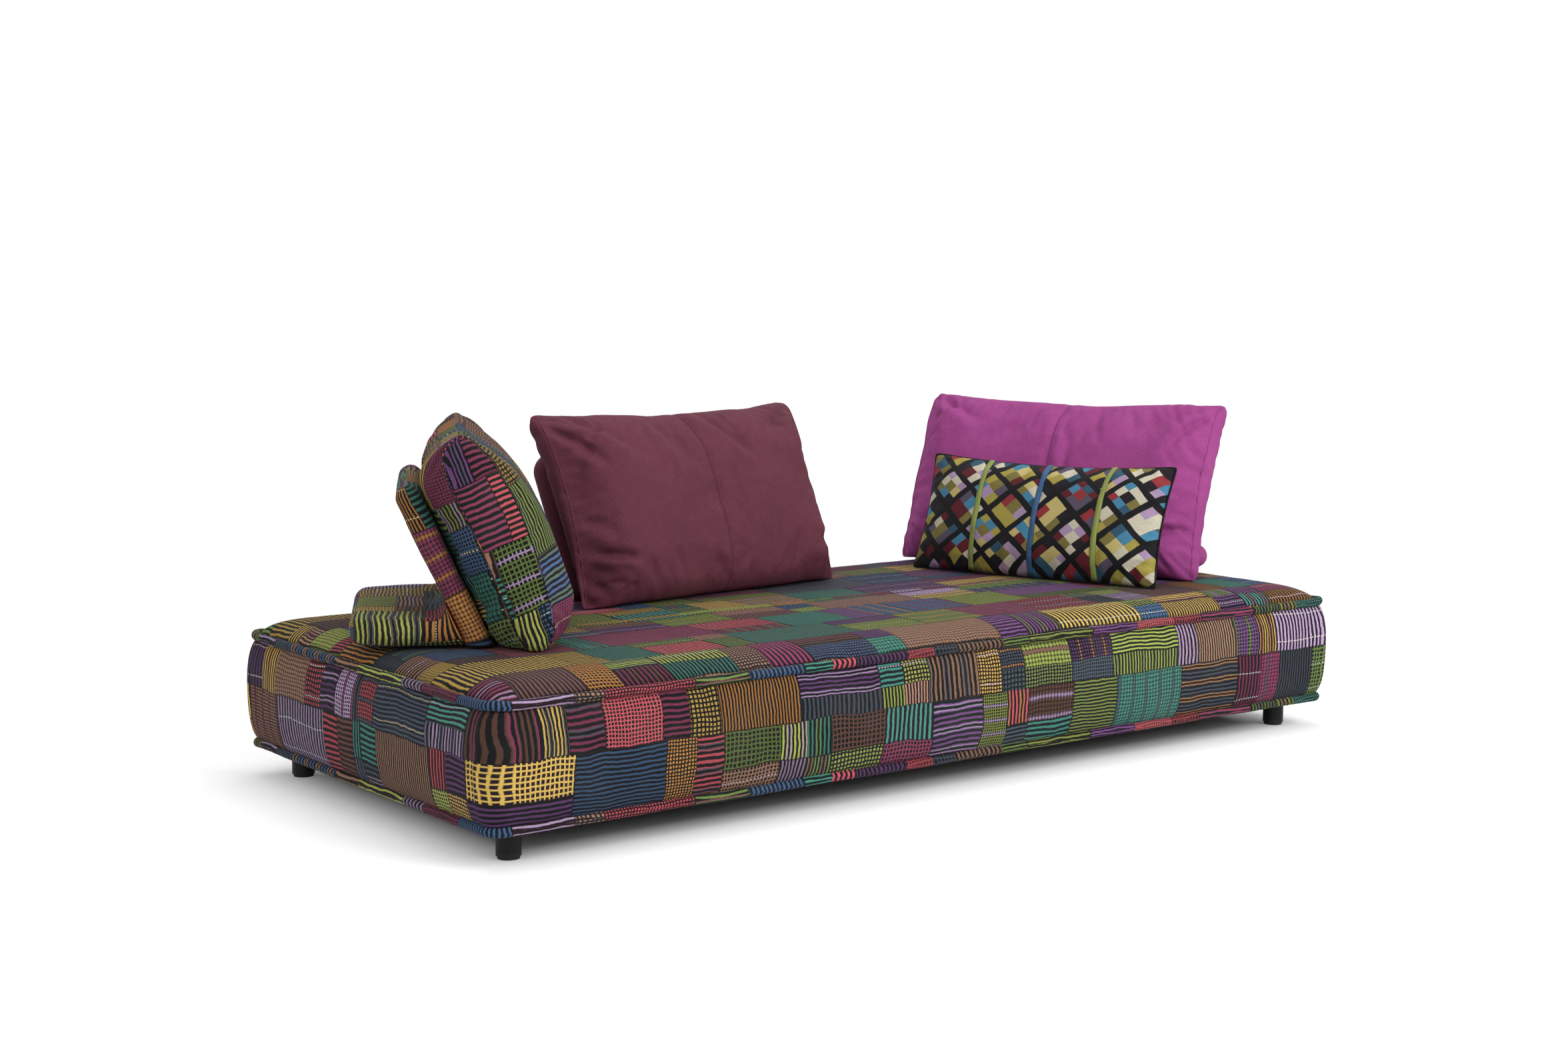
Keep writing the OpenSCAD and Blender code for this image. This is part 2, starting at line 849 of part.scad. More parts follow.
// Two triangles of a cell, split along the diagonal that its quarter of the cushion needs
function cell_faces(low_left, high_left, low_right, high_right, flipped) = flipped
    ? [[low_left, high_left, low_right], [high_left, high_right, low_right]]
    : [[low_left, high_left, high_right], [low_left, high_right, low_right]];

// Faces of a cushion whose front and back grids share their edge
function cushion_faces(columns, rows) =
    let (
        last_column = columns - 1,
        last_row = rows - 1,
        back = columns * rows,
        // Numbers a back point, or the front point where the two meet at the edge
        number = function (i, j)
            (i == 0 || j == 0 || i == last_column || j == last_row)
                ? i * rows + j
                : back + (i - 1) * (rows - 2) + j - 1
    )
    joined([
        for (i = [0:last_column - 1], j = [0:last_row - 1])
            let (
                a = i * rows + j,
                b = a + rows,
                right = i + 1,
                flipped = (i < last_column / 2) != (j < last_row / 2),
                behind = cell_faces(
                    number(i, j), number(i, j + 1), number(right, j), number(right, j + 1), flipped
                )
            )
            concat(
                cell_faces(a, a + 1, b, b + 1, flipped),
                [for (face = behind) [face[0], face[2], face[1]]]
            )
    ]);

// Closed cushion from a grid of front points and the inner points of its back
module cushion_solid(front, back, columns, rows) {
    polyhedron(points = concat(joined(front), joined(back)), faces = cushion_faces(columns, rows));
}

// Back cushion
module back_cushion(large, tint) {
    width = large ? large_cushion_width : small_cushion_width;
    across = columns(cushion_columns, width, large);
    up = rows(cushion_rows);
    last_column = len(across) - 1;
    last_row = len(up) - 1;
    front = [for (a = across) [for (u = up) back_cushion_point(large, a, u, -1)]];
    back = [
        for (i = [1:last_column - 1])
            [for (j = [1:last_row - 1]) back_cushion_point(large, across[i], up[j], 1)]
    ];
    color(tint)
        cushion_solid(front, back, len(across), len(up));
}

module lumbar_cushion() {
    across = lumbar_across;
    up = rows(lumbar_rows);
    last_column = len(across) - 1;
    last_row = len(up) - 1;
    front = [for (a = across) [for (u = up) lumbar_point(a, u, -1, 0)]];
    back = [
        for (i = [1:last_column - 1])
            [for (j = [1:last_row - 1]) lumbar_point(across[i], up[j], 1, 0)]
    ];
    color("#4a4440")
        at_lumbar()
            cushion_solid(front, back, len(across), len(up));
}

// Ribbon sewn down the front of the lumbar cushion
module ribbon(place, tint) {
    left = place - ribbon_half_place;
    right = place + ribbon_half_place;
    top = ribbon_gap + ribbon_thickness;
    heights = rows(lumbar_rows);
    rings = [
        for (j = [1:len(heights) - 2])
            [
                lumbar_point(left, heights[j], -1, ribbon_gap),
                lumbar_point(right, heights[j], -1, ribbon_gap),
                lumbar_point(right, heights[j], -1, top),
                lumbar_point(left, heights[j], -1, top)
            ]
    ];
    color(tint)
        at_lumbar()
            mirrored_loft(rings);
}

// Places of the loose pieces

module at_left() {
    translate([left_from_end - platform_length / 2, left_y, top_height])
        rotate([0, 0, left_turn])
            children();
}

module at_middle() {
    translate([middle_x, platform_depth / 2 - middle_from_back, top_height])
        rotate([0, 0, middle_turn])
            children();
}

module at_right() {
    translate([platform_length / 2 - right_from_end, right_y, top_height])
        rotate([0, 0, right_turn])
            children();
}

module at_lumbar() {
    at_right()
        translate([lumbar_shift, -lumbar_ahead, 0])
            rotate([0, 0, lumbar_turn])
                children();
}

leg(-1, -1);  // front_left_leg
leg(1, -1);  // front_right_leg
leg(-1, 1);  // back_left_leg
leg(1, 1);  // back_right_leg
leg_glides();
leg_studs();
leg_plates();
plate_screws();
long_rail(-1);  // front_rail
long_rail(1);  // back_rail
end_rail(-1);  // left_end_rail
end_rail(1);  // right_end_rail
cross_rails();
corner_blocks();
cross_straps();
long_straps();
felt_pad();
foam_core();
side_foam();
topper();
dust_cloth();
side_border();
top_cover();
bottom_rolled_seam();
top_rolled_seam();
at_left() small_grip_sheet();  // left_grip_sheet
at_left() small_base_plate();  // left_base_plate
at_left() back_board(small_shell_width);  // left_back_board
at_left() shell(small_shell_width, "#6b5a44");  // left_shell
at_left() small_foot("#7a4650");  // left_foot
at_left() back_cushion(false, "#6a6a3c");  // left_cushion
at_middle() large_grip_sheet();  // middle_grip_sheet
at_middle() large_base_plate();  // middle_base_plate
at_middle() back_board(large_shell_width);  // middle_back_board
at_middle() shell(large_shell_width, "#5f303c");  // middle_shell
at_middle() large_foot("#5f303c");  // middle_foot
at_middle() back_cushion(true, "#6b3644");  // middle_cushion
at_right() large_grip_sheet();  // right_grip_sheet
at_right() large_base_plate();  // right_base_plate
at_right() back_board(large_shell_width);  // right_back_board
at_right() shell(large_shell_width, "#8f3a7c");  // right_shell
at_right() large_foot("#8f3a7c");  // right_foot
at_right() back_cushion(true, "#9b4187");  // right_cushion
lumbar_cushion();
for (i = [0, 2]) ribbon(ribbon_place_shares[i], "#a8c042");  // green_ribbons
ribbon(ribbon_place_shares[1], "#2f6f9e");  // blue_ribbon
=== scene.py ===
"""Dress the three-seater island sofa with padded cloth, sewn seams and its finishes."""

from __future__ import annotations

import logging
import math
from abc import ABC, abstractmethod
from collections.abc import Callable, Sequence
from dataclasses import dataclass, field
from enum import Enum

import bpy
import numpy as np
from mathutils import Matrix, Vector


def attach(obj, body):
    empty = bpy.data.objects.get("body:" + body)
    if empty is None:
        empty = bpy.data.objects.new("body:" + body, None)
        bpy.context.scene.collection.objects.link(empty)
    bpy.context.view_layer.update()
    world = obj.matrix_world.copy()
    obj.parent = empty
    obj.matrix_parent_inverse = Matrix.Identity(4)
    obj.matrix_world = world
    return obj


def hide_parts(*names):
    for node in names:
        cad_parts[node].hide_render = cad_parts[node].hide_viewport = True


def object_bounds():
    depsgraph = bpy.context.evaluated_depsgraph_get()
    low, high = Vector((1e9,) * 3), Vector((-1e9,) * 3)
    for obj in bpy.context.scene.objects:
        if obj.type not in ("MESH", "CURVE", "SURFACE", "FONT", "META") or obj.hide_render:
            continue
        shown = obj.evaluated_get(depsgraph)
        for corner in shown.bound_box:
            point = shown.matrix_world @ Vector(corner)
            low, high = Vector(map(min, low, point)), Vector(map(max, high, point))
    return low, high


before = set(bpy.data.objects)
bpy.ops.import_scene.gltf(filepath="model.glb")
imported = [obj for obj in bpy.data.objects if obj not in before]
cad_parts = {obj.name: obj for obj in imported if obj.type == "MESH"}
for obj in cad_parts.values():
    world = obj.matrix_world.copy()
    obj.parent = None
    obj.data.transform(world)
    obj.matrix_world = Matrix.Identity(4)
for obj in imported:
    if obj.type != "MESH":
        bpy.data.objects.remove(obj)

LOG = logging.getLogger("sofa")
CAD_BOX = [[float(value) for value in corner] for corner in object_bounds()]
CLOTH = "cloth"
REST_GAP = 0.0003

Array = np.ndarray
Socket = bpy.types.NodeSocket
Material = bpy.types.Material
Piece = bpy.types.Object
Triple = tuple[float, float, float]
Faces = list[tuple[int, ...]]
Flats = list[tuple[Triple, ...]]
ClothMap = Callable[[int, int, int, int], Triple]


def linear(code: str) -> tuple[float, float, float, float]:
    """Turn a six-digit sRGB colour code into Blender's linear colour.

    Args:
        code: The colour as six hexadecimal digits.

    Returns:
        Red, green, blue and an alpha of 1.
    """
    parts = [int(code[place : place + 2], 16) / 255 for place in (0, 2, 4)]
    red, green, blue = (
        part / 12.92 if part <= 0.04045 else ((part + 0.055) / 1.055) ** 2.4 for part in parts
    )
    return red, green, blue, 1.0


def ripple(places: Array, seed: int, shortest: float, longest: float) -> Array:
    """Sum nine plane waves with seeded directions, for soft unevenness.

    Args:
        places: One row of coordinates in metres for each point.
        seed: Number that fixes the directions and phases.
        shortest: Shortest wavelength in metres.
        longest: Longest wavelength in metres.

    Returns:
        One value for each point, mostly between -1 and 1.
    """
    waves = 9
    rng = np.random.default_rng(seed)
    total = np.zeros(len(places))
    for _ in range(waves):
        heading = rng.normal(size=places.shape[1])
        heading /= np.linalg.norm(heading)
        length = math.exp(rng.uniform(math.log(shortest), math.log(longest)))
        total += np.cos(2 * math.pi * (places @ heading) / length + rng.uniform(0, 2 * math.pi))
    return total / math.sqrt(2 * waves)


def rippled(across: Array, along: Array, seed: int, shortest: float, longest: float) -> Array:
    """Ripple a grid that is read at two coordinates, in its own shape."""
    places = np.column_stack([across.ravel(), along.ravel()])
    return ripple(places, seed, shortest, longest).reshape(across.shape)


def unit(vectors: Array) -> Array:
    """Bring the vectors along the last axis to a length of 1."""
    return vectors / np.maximum(np.linalg.norm(vectors, axis=-1, keepdims=True), 1e-9)


class Board:
    """The nodes of a material or a world, added and linked one at a time."""

    def __init__(self, name: str, world: bool = False) -> None:
        """Start with an output only.

        Args:
            name: Name of the material or world.
            world: Whether it is a world.
        """
        self.material = (bpy.data.worlds if world else bpy.data.materials).new(name)
        self.material.use_nodes = True
        self.tree = self.material.node_tree
        self.tree.nodes.clear()
        self.output = self.node("ShaderNodeOutputWorld" if world else "ShaderNodeOutputMaterial")

    def node(self, kind: str, **settings: object) -> bpy.types.Node:
        """Add a node of a kind and set its properties."""
        made = self.tree.nodes.new(kind)
        for key, value in settings.items():
            setattr(made, key, value)
        return made

    def feed(self, socket: Socket, value: object) -> None:
        """Link a socket to an output, or set its number or colour."""
        if isinstance(value, Socket):
            self.tree.links.new(value, socket)
        else:
            socket.default_value = value

    def fed(self, made: bpy.types.Node, values: Sequence[object]) -> Socket:
        """Feed a node's first inputs in order and give its first output."""
        for place, value in enumerate(values):
            self.feed(made.inputs[place], value)
        return made.outputs[0]

    def maths(self, kind: str, *values: object) -> Socket:
        """Add a Math node for an operation on numbers or outputs."""
        return self.fed(self.node("ShaderNodeMath", operation=kind), values)

    def times(self, *values: object) -> Socket:
        """Multiply two numbers."""
        return self.maths("MULTIPLY", *values)

    def plus(self, *values: object) -> Socket:
        """Add two numbers."""
        return self.maths("ADD", *values)

    def minus(self, *values: object) -> Socket:
        """Subtract the second number from the first."""
        return self.maths("SUBTRACT", *values)

    def most(self, *values: object) -> Socket:
        """Take the larger of two numbers."""
        return self.maths("MAXIMUM", *values)

    def floor(self, value: object) -> Socket:
        """Take a number's whole part."""
        return self.maths("FLOOR", value)

    def past(self, *values: object) -> Socket:
        """1 where the first number is greater than the second, and 0 elsewhere."""
        return self.maths("GREATER_THAN", *values)

    def fused(self, *values: object) -> Socket:
        """Multiply the first two numbers and add the third."""
        return self.maths("MULTIPLY_ADD", *values)

    def off_middle(self, value: object) -> Socket:
        """Distance from the middle of a whole step, from 0 to 0.5."""
        return self.maths("ABSOLUTE", self.minus(self.maths("FRACT", value), 0.5))

    def weighed(self, *pairs: tuple[Socket, float]) -> Socket:
        """Sum numbers, each times its weight."""
        total, *others = [self.times(value, weight) for value, weight in pairs]
        for other in others:
            total = self.plus(total, other)
        return total

    def vector(self, kind: str, *values: object) -> Socket:
        """Add a Vector Math node for an operation on triples or outputs."""
        return self.fed(self.node("ShaderNodeVectorMath", operation=kind), values)

    def scaled(self, vector: Socket, sizes: Sequence[float]) -> Socket:
        """Multiply a vector by three numbers."""
        return self.vector("MULTIPLY", vector, tuple(sizes))

    def split(self, vector: Socket) -> list[Socket]:
        """Split a vector into its three parts."""
        made = self.node("ShaderNodeSeparateXYZ")
        self.feed(made.inputs[0], vector)
        return list(made.outputs)

    def joined(self, *parts: object) -> Socket:
        """Join up to three numbers into a vector."""
        return self.fed(self.node("ShaderNodeCombineXYZ"), parts)

    def noise(self, vector: Socket, scale: float, detail: float = 2.0, roughness: float = 0.5) -> Socket:
        """Add a Noise Texture and give its value.

        Args:
            vector: Where it is read.
            scale: Its scale.
            detail: Its octaves.
            roughness: How strong the finer octaves are.

        Returns:
            The value's output.
        """
        made = self.node("ShaderNodeTexNoise")
        self.feed(made.inputs["Vector"], vector)
        for key, value in (("Scale", scale), ("Detail", detail), ("Roughness", roughness)):
            made.inputs[key].default_value = value
        return made.outputs[0]

    def threads(self, place: Socket, across: float, along: float) -> Socket:
        """Noise that is drawn out like threads, at two scales."""
        return self.noise(self.scaled(place, (across, along, 1)), 1.0, 2)

    def moves(self, flat: Socket, scale: float, reach: float, shift: Triple) -> Socket:
        """Uneven moves of places on a cloth, as hand-sewn cloth is uneven.

        Args:
            flat: Places on the cloth.
            scale: Scale of the unevenness.
            reach: How far it reaches in metres.
            shift: Keeps the second way apart from the first.

        Returns:
            The moves.
        """
        first = self.noise(flat, scale, 2)
        second = self.noise(self.vector("ADD", flat, shift), scale, 2)
        move = self.vector("SUBTRACT", self.joined(first, second, 0.5), (0.5, 0.5, 0.5))
        return self.scaled(move, (reach, reach, 0))

    def chance(self, vector: Socket) -> list[Socket]:
        """Three random numbers between 0 and 1 that are the same all over a cell."""
        made = self.node("ShaderNodeTexWhiteNoise", noise_dimensions="3D")
        self.feed(made.inputs["Vector"], vector)
        return self.split(made.outputs["Color"])

    def palette(self, value: Socket, stops: Sequence[tuple[float, str]], stepped: bool = False) -> Socket:
        """Add a Color Ramp.

        Args:
            value: The number that picks the colour.
            stops: Places and colour codes.
            stepped: Whether the colours change at once.

        Returns:
            The colour's output.
        """
        made = self.node("ShaderNodeValToRGB")
        ramp = made.color_ramp
        ramp.interpolation = "CONSTANT" if stepped else "LINEAR"
        while len(ramp.elements) < len(stops):
            ramp.elements.new(0.5)
        for element, (place, code) in zip(ramp.elements, stops):
            element.position = place
            element.color = linear(code)
        self.feed(made.inputs[0], value)
        return made.outputs[0]

    def blend(self, share: object, first: object, second: object, kind: str = "MIX") -> Socket:
        """Mix two colours.

        Args:
            share: How much of the second, from 0 to 1.
            first: The first colour.
            second: The second colour.
            kind: The blend type.

        Returns:
            The mixed colour's output.
        """
        made = self.node("ShaderNodeMix", data_type="RGBA", blend_type=kind)
        for place, value in ((0, share), (6, first), (7, second)):
            self.feed(made.inputs[place], value)
        return made.outputs[2]

    def shaded(self, colour: Socket, shade: Socket) -> Socket:
        """Multiply a colour by a number."""
        return self.blend(1.0, colour, self.joined(shade, shade, shade), "MULTIPLY")

    def ramped(self, value: Socket, low: float, high: float, start: float, end: float) -> Socket:
        """Map a number from low and high to start and end, held at both."""
        return self.fed(self.node("ShaderNodeMapRange"), (value, low, high, start, end))

    def lines(self, value: object, pitch: object, width: float, edge: float) -> Socket:
        """1 on stripes along a coordinate, with width and soft edge as shares of the pitch."""
        away = self.times(self.off_middle(self.maths("DIVIDE", value, pitch)), 2.0)
        return self.ramped(away, width - edge, width + edge, 1.0, 0.0)

    def bump(self, height: Socket, depth: float, strength: float = 1.0, below: object = None) -> Socket:
        """Add a Bump node.

        Args:
            height: The height map.
            depth: Its depth in metres.
            strength: How strong it is.
            below: The normal that it goes on.

        Returns:
            The normal's output.
        """
        made = self.node("ShaderNodeBump")
        made.inputs["Strength"].default_value = strength
        made.inputs["Distance"].default_value = depth
        self.feed(made.inputs["Height"], height)
        if below is not None:
            self.feed(made.inputs["Normal"], below)
        return made.outputs[0]

    def close(
        self,
        colour: object,
        roughness: object,
        normal: Socket,
        *,
        metallic: float = 0.0,
        sheen: float = 0.0,
        tint: str = "FFFFFF",
        specular: float = 0.5,
    ) -> Material:
        """Join everything in one shader.

        Args:
            colour: The base colour.
            roughness: The roughness.
            normal: The bumped normal.
            metallic: 1 for bare metal.
            sheen: Weight of the cloth's soft edge light.
            tint: Colour code of that light.
            specular: Level of the mirror part.

        Returns:
            The finished material.
        """
        shader = self.node("ShaderNodeBsdfPrincipled")
        inputs = {
            "Base Color": colour,
            "Roughness": roughness,
            "Metallic": metallic,
            "Sheen Weight": sheen,
            "Sheen Tint": linear(tint),
            "Specular IOR Level": specular,
            "Normal": normal,
        }
        for key, value in inputs.items():
            self.feed(shader.inputs[key], value)
        self.feed(self.output.inputs["Surface"], shader.outputs[0])
        return self.material

    def cloth_place(self) -> Socket:
        """Place on the flat cloth in metres, as stored on the mesh."""
        return self.node("ShaderNodeAttribute", attribute_name=CLOTH).outputs["Vector"]

    def object_place(self) -> Socket:
        """Place in the object's own frame in metres."""
        return self.node("ShaderNodeTexCoord").outputs["Object"]

    def seen(self) -> Socket:
        """1 for what the camera sees, also in mirrors and through glass."""
        path = self.node("ShaderNodeLightPath").outputs
        return self.most(self.most(path["Is Camera Ray"], path["Is Glossy Ray"]), path["Is Transmission Ray"])

    def weave(self, place: Socket, pitch: float, twill: bool = False) -> Socket:
        """Height of a plain or twill weave.

        Args:
            place: Place on the cloth in metres.
            pitch: Distance between threads in metres.
            twill: Whether the threads step into slanting ribs.

        Returns:
            The height between 0 and 1.
        """
        across, along, _ = self.split(place)
        turn = math.pi / pitch
        slant = self.plus(across, self.times(along, 0.62)) if twill else across
        first = self.maths("SINE", self.times(slant, turn))
        second = self.maths("SINE", self.times(along, turn * 1.07))
        mixed = self.weighed((first, 0.8), (second, 0.25)) if twill else self.times(first, second)
        return self.fused(mixed, 0.5, 0.5)


@dataclass(frozen=True)
class Finish:
    """A surface finish that makes its material once."""

    name: str
    slot: str

    def material(self) -> Material:
        """Give the finish's material, made on first use."""
        return bpy.data.materials.get(self.name) or self.paint()

    def paint(self) -> Material:
        """Make the material."""
        raise NotImplementedError


@dataclass(frozen=True)
class PlainCloth(Finish):
    """A one-colour heavy twill with a visible thread."""

    dark: str
    middle: str
    light: str

    def paint(self) -> Material:
        """Mix thread streaks, faded patches, the weave's relief and the seam down the middle, darkened with
        painted shade of its sewn channel.
        """
        board = Board(self.name)
        place = board.cloth_place()
        warp = board.threads(place, 1100, 150)
        weft = board.threads(place, 150, 1100)
        cloud = board.noise(place, 7.0, 4, 0.6)
        fade = board.noise(place, 38.0, 3)
        relief = board.weave(place, 0.0026, True)
        tone = board.weighed((warp, 0.34), (weft, 0.34), (cloud, 0.3), (fade, 0.12), (relief, 0.1))
        colour = board.palette(tone, [(0.36, self.dark), (0.6, self.middle), (0.84, self.light)])
        seam = board.ramped(board.maths("ABSOLUTE", board.split(place)[0]), 0.0, 0.0045, 1.0, 0.0)
        # Painted shade: the colour is darkened towards black along the middle seam, standing in for the shade
        # in its sewn channel.
        colour = board.blend(board.times(seam, 0.3), colour, (0.0, 0.0, 0.0, 1.0))
        normal = board.bump(relief, 0.0006, 0.5)
        normal = board.bump(board.noise(place, 900.0, 2), 0.0004, 0.35, normal)
        normal = board.bump(board.noise(place, 30.0, 3), 0.003, 0.28, normal)
        normal = board.bump(seam, -0.0015, 0.8, normal)
        roughness = board.ramped(cloud, 0.3, 0.7, 0.78, 0.95)
        return board.close(colour, roughness, normal, sheen=0.12, tint=self.light, specular=0.2)


@dataclass(frozen=True)
class PatchCloth(Finish):
    """A patchwork of striped, dotted and checked blocks on a dark ground."""

    seed: float
    block_width: float = 0.185
    block_height: float = 0.13

    BRIGHTS = (
        (0.0, "A94A52"), (0.08, "64406E"), (0.16, "8B9648"), (0.25, "3F5B7C"), (0.33, "B99A4E"),
        (0.42, "3E7A6B"), (0.5, "94705A"), (0.58, "5C4036"), (0.65, "424B57"), (0.73, "7A3550"),
        (0.81, "667A3E"), (0.88, "9C86A4"), (0.95, "A9743C"),
    )
    GROUNDS = ((0.0, "100F12"), (0.5, "151822"), (0.66, "221419"), (0.8, "121C19"), (0.9, "221623"))
    PALES = ((0.0, "D9C68E"), (0.3, "C9B4CF"), (0.55, "BFD0CE"), (0.8, "D8D4C4"))

    def paint(self) -> Material:
        """Lay out the blocks, fill each with a motif and weave the whole."""
        board = Board(self.name)
        flat = board.cloth_place()
        shift = (7.3, 2.1, 0.0)
        slow = board.vector("ADD", flat, board.moves(flat, 8.0, 0.022, shift))
        place = board.vector("ADD", slow, board.moves(flat, 70.0, 0.0036, shift))
        across, along, _ = board.split(place)
        level = self._uneven(board, board.maths("DIVIDE", along, self.block_height), 0.11, self.seed)
        row = board.floor(level)
        drift = board.chance(board.joined(row, self.seed, 3.0))[0]
        upright = board.fused(drift, 7.0, board.maths("DIVIDE", across, self.block_width))
        upright = self._uneven(board, upright, 0.13, self.seed + 2)
        whole = board.joined(board.floor(upright), row, self.seed + 20)
        widths, heights, _ = board.chance(whole)
        upright = board.times(upright, board.plus(board.past(widths, 0.42), 1.0))
        level = board.times(level, board.plus(board.past(heights, 0.68), 1.0))
        cell = board.joined(board.floor(upright), board.floor(level), self.seed)
        cell = board.vector("ADD", cell, board.scaled(whole, (0.13, 0.17, 0.0)))
        first, second, third = board.chance(cell)
        fourth, fifth, sixth = board.chance(board.vector("ADD", cell, (0.37, 5.11, 2.9)))
        pitch = board.fused(fourth, 0.0056, 0.0080)
        run = board.fused(board.past(fifth, 0.5), board.minus(along, across), across)
        stripes = board.lines(run, pitch, 0.45, 0.1)
        fine = board.times(pitch, 0.8)
        columns, rows = (board.lines(way, fine, 0.58, 0.14) for way in (across, along))
        lattice = board.most(*(board.lines(way, fine, 0.32, 0.12) for way in (across, along)))
        motif = stripes
        check = board.times(board.plus(columns, rows), 0.45)
        for start, chosen in ((0.6, board.times(columns, rows)), (0.76, lattice), (0.88, check)):
            motif = board.fused(board.past(third, start), board.minus(chosen, motif), motif)
        bright = board.palette(first, self.BRIGHTS, stepped=True)
        bright = board.shaded(bright, board.ramped(second, 0.0, 1.0, 0.66, 1.5))
        colour = board.blend(motif, board.palette(second, self.GROUNDS, stepped=True), bright)
        wide = board.times(board.lines(run, board.times(pitch, 4.0), 0.26, 0.03), board.past(sixth, 0.64))
        accent = board.palette(sixth, self.BRIGHTS, stepped=True)
        colour = board.blend(board.times(wide, motif), colour, accent)
        stitch = board.lines(along, self.block_height * 0.5, 0.035, 0.01)
        stitch = board.times(stitch, board.lines(across, 0.008, 0.55, 0.1))
        stitch = board.times(stitch, board.maths("LESS_THAN", sixth, 0.14))
        colour = board.blend(stitch, colour, board.palette(fourth, self.PALES, stepped=True))
        edges = (board.ramped(board.off_middle(way), 0.482, 0.496, 0.0, 1.0) for way in (upright, level))
        seam = board.most(*edges)
        colour = board.blend(board.times(seam, 0.8), colour, linear("121013"))
        warp = board.threads(flat, 900, 160)
        weft = board.threads(flat, 160, 900)
        colour = board.shaded(colour, board.ramped(board.plus(warp, weft), 0.6, 1.4, 0.62, 1.2))
        fade = board.ramped(board.noise(flat, 5.0, 4, 0.6), 0.5, 0.85, 0.0, 0.16)
        colour = board.blend(fade, colour, linear("6F6A68"))
        normal = board.bump(board.weave(flat, 0.0024), 0.0006, 0.5)
        normal = board.bump(motif, 0.0008, 0.6, normal)
        normal = board.bump(seam, -0.0016, 0.8, normal)
        normal = board.bump(board.noise(flat, 26.0, 3), 0.003, 0.3, normal)
        roughness = board.ramped(warp, 0.3, 0.7, 0.8, 0.96)
        return board.close(colour, roughness, normal, sheen=0.06, tint="9A8F94", specular=0.18)

    def _uneven(self, board: Board, value: Socket, reach: float, phase: float) -> Socket:
        """Move a coordinate's whole numbers by up to a reach, so that blocks differ in size."""
        return board.fused(board.maths("SINE", board.fused(value, 4.1, phase)), reach, value)


@dataclass(frozen=True)
class DiamondCloth(Finish):
    """Harlequin diamonds between black bands, each pieced from small blocks."""

    width: float = 0.128
    height: float = 0.112

    BLOCKS = (
        (0.0, "A99C4A"), (0.15, "CFC8B2"), (0.28, "4A86A6"), (0.4, "AC92B2"), (0.5, "5E2029"),
        (0.6, "7E7440"), (0.7, "5A5164"), (0.79, "C9B876"), (0.87, "33576C"), (0.94, "94353A"),
    )

    def paint(self) -> Material:
        """Cut the cloth along two slants and colour each block between the bands."""
        board = Board(self.name)
        flat = board.cloth_place()
        place = board.vector("ADD", flat, board.moves(flat, 14.0, 0.012, (3.7, 1.9, 0.0)))
        across, along, _ = board.split(place)
        across = board.maths("DIVIDE", across, self.width)
        along = board.maths("DIVIDE", along, self.height)
        rising, falling = board.plus(across, along), board.minus(across, along)
        whole = board.joined(board.floor(rising), board.floor(falling), 4.0)
        cuts = board.plus(board.past(board.chance(whole)[0], 0.4), 2.0)
        slants = (board.times(rising, cuts), board.times(falling, 3.0))
        small = board.joined(*(board.floor(slant) for slant in slants), cuts)
        first, second, _ = board.chance(small)
        colour = board.palette(first, self.BLOCKS, stepped=True)
        colour = board.blend(board.past(second, 0.9), colour, linear("1F1A20"))
        edge = board.most(*(board.times(board.off_middle(way), 2.0) for way in (rising, falling)))
        lattice = board.ramped(edge, 0.8, 0.83, 0.0, 1.0)
        colour = board.blend(lattice, colour, linear("141316"))
        warp = board.threads(flat, 1000, 180)
        colour = board.shaded(colour, board.ramped(warp, 0.3, 0.7, 0.66, 1.02))
        normal = board.bump(board.weave(flat, 0.0018), 0.0005, 0.5)
        normal = board.bump(lattice, 0.0006, 0.5, normal)
        normal = board.bump(board.noise(flat, 34.0, 3), 0.0025, 0.3, normal)
        roughness = board.ramped(warp, 0.3, 0.7, 0.75, 0.92)
        return board.close(colour, roughness, normal, sheen=0.06, tint="9A8F94", specular=0.2)


@dataclass(frozen=True)
class RibbonCloth(Finish):
    """A ribbed ribbon with a firm edge."""

    colour: str
    shadow: str

    def paint(self) -> Material:
        """Rib the ribbon across and shade it along its edges."""
        board = Board(self.name)
        place = board.cloth_place()
        across, along, _ = board.split(place)
        rib = board.fused(board.maths("SINE", board.times(along, math.pi / 0.0011)), 0.5, 0.5)
        grain = board.threads(place, 1400, 300)
        edge = board.ramped(board.maths("ABSOLUTE", across), 0.0058, 0.0074, 0.0, 1.0)
        tone = board.weighed((grain, 0.7), (rib, 0.3))
        colour = board.palette(tone, [(0.25, self.shadow), (0.65, self.colour)])
        colour = board.blend(board.times(edge, 0.5), colour, linear(self.shadow))
        normal = board.bump(edge, 0.0005, 0.5, board.bump(rib, 0.0004, 0.6))
        return board.close(colour, board.ramped(grain, 0.3, 0.7, 0.5, 0.7), normal, sheen=0.08, specular=0.35)


@dataclass(frozen=True)
class BlackPaint(Finish):
    """Black satin paint on turned legs, rubbed near the floor."""

    def paint(self) -> Material:
        """Show fine grain through satin paint."""
        board = Board(self.name)
        place = board.object_place()
        grain = board.noise(board.scaled(place, (260, 260, 14)), 1.0, 4, 0.6)
        speck = board.noise(place, 480.0, 2)
        colour = board.palette(grain, [(0.3, "0A0A0C"), (0.55, "111114"), (0.8, "1E1D21")])
        low = board.ramped(board.split(place)[2], 0.0, 0.016, 1.0, 0.0)
        rub = board.times(low, board.ramped(speck, 0.45, 0.6, 0.0, 0.6))
        colour = board.blend(rub, colour, linear("5A544E"))
        normal = board.bump(speck, 0.0001, 0.4, board.bump(grain, 0.0004, 0.5))
        return board.close(colour, board.ramped(grain, 0.3, 0.7, 0.42, 0.6), normal, specular=0.2)


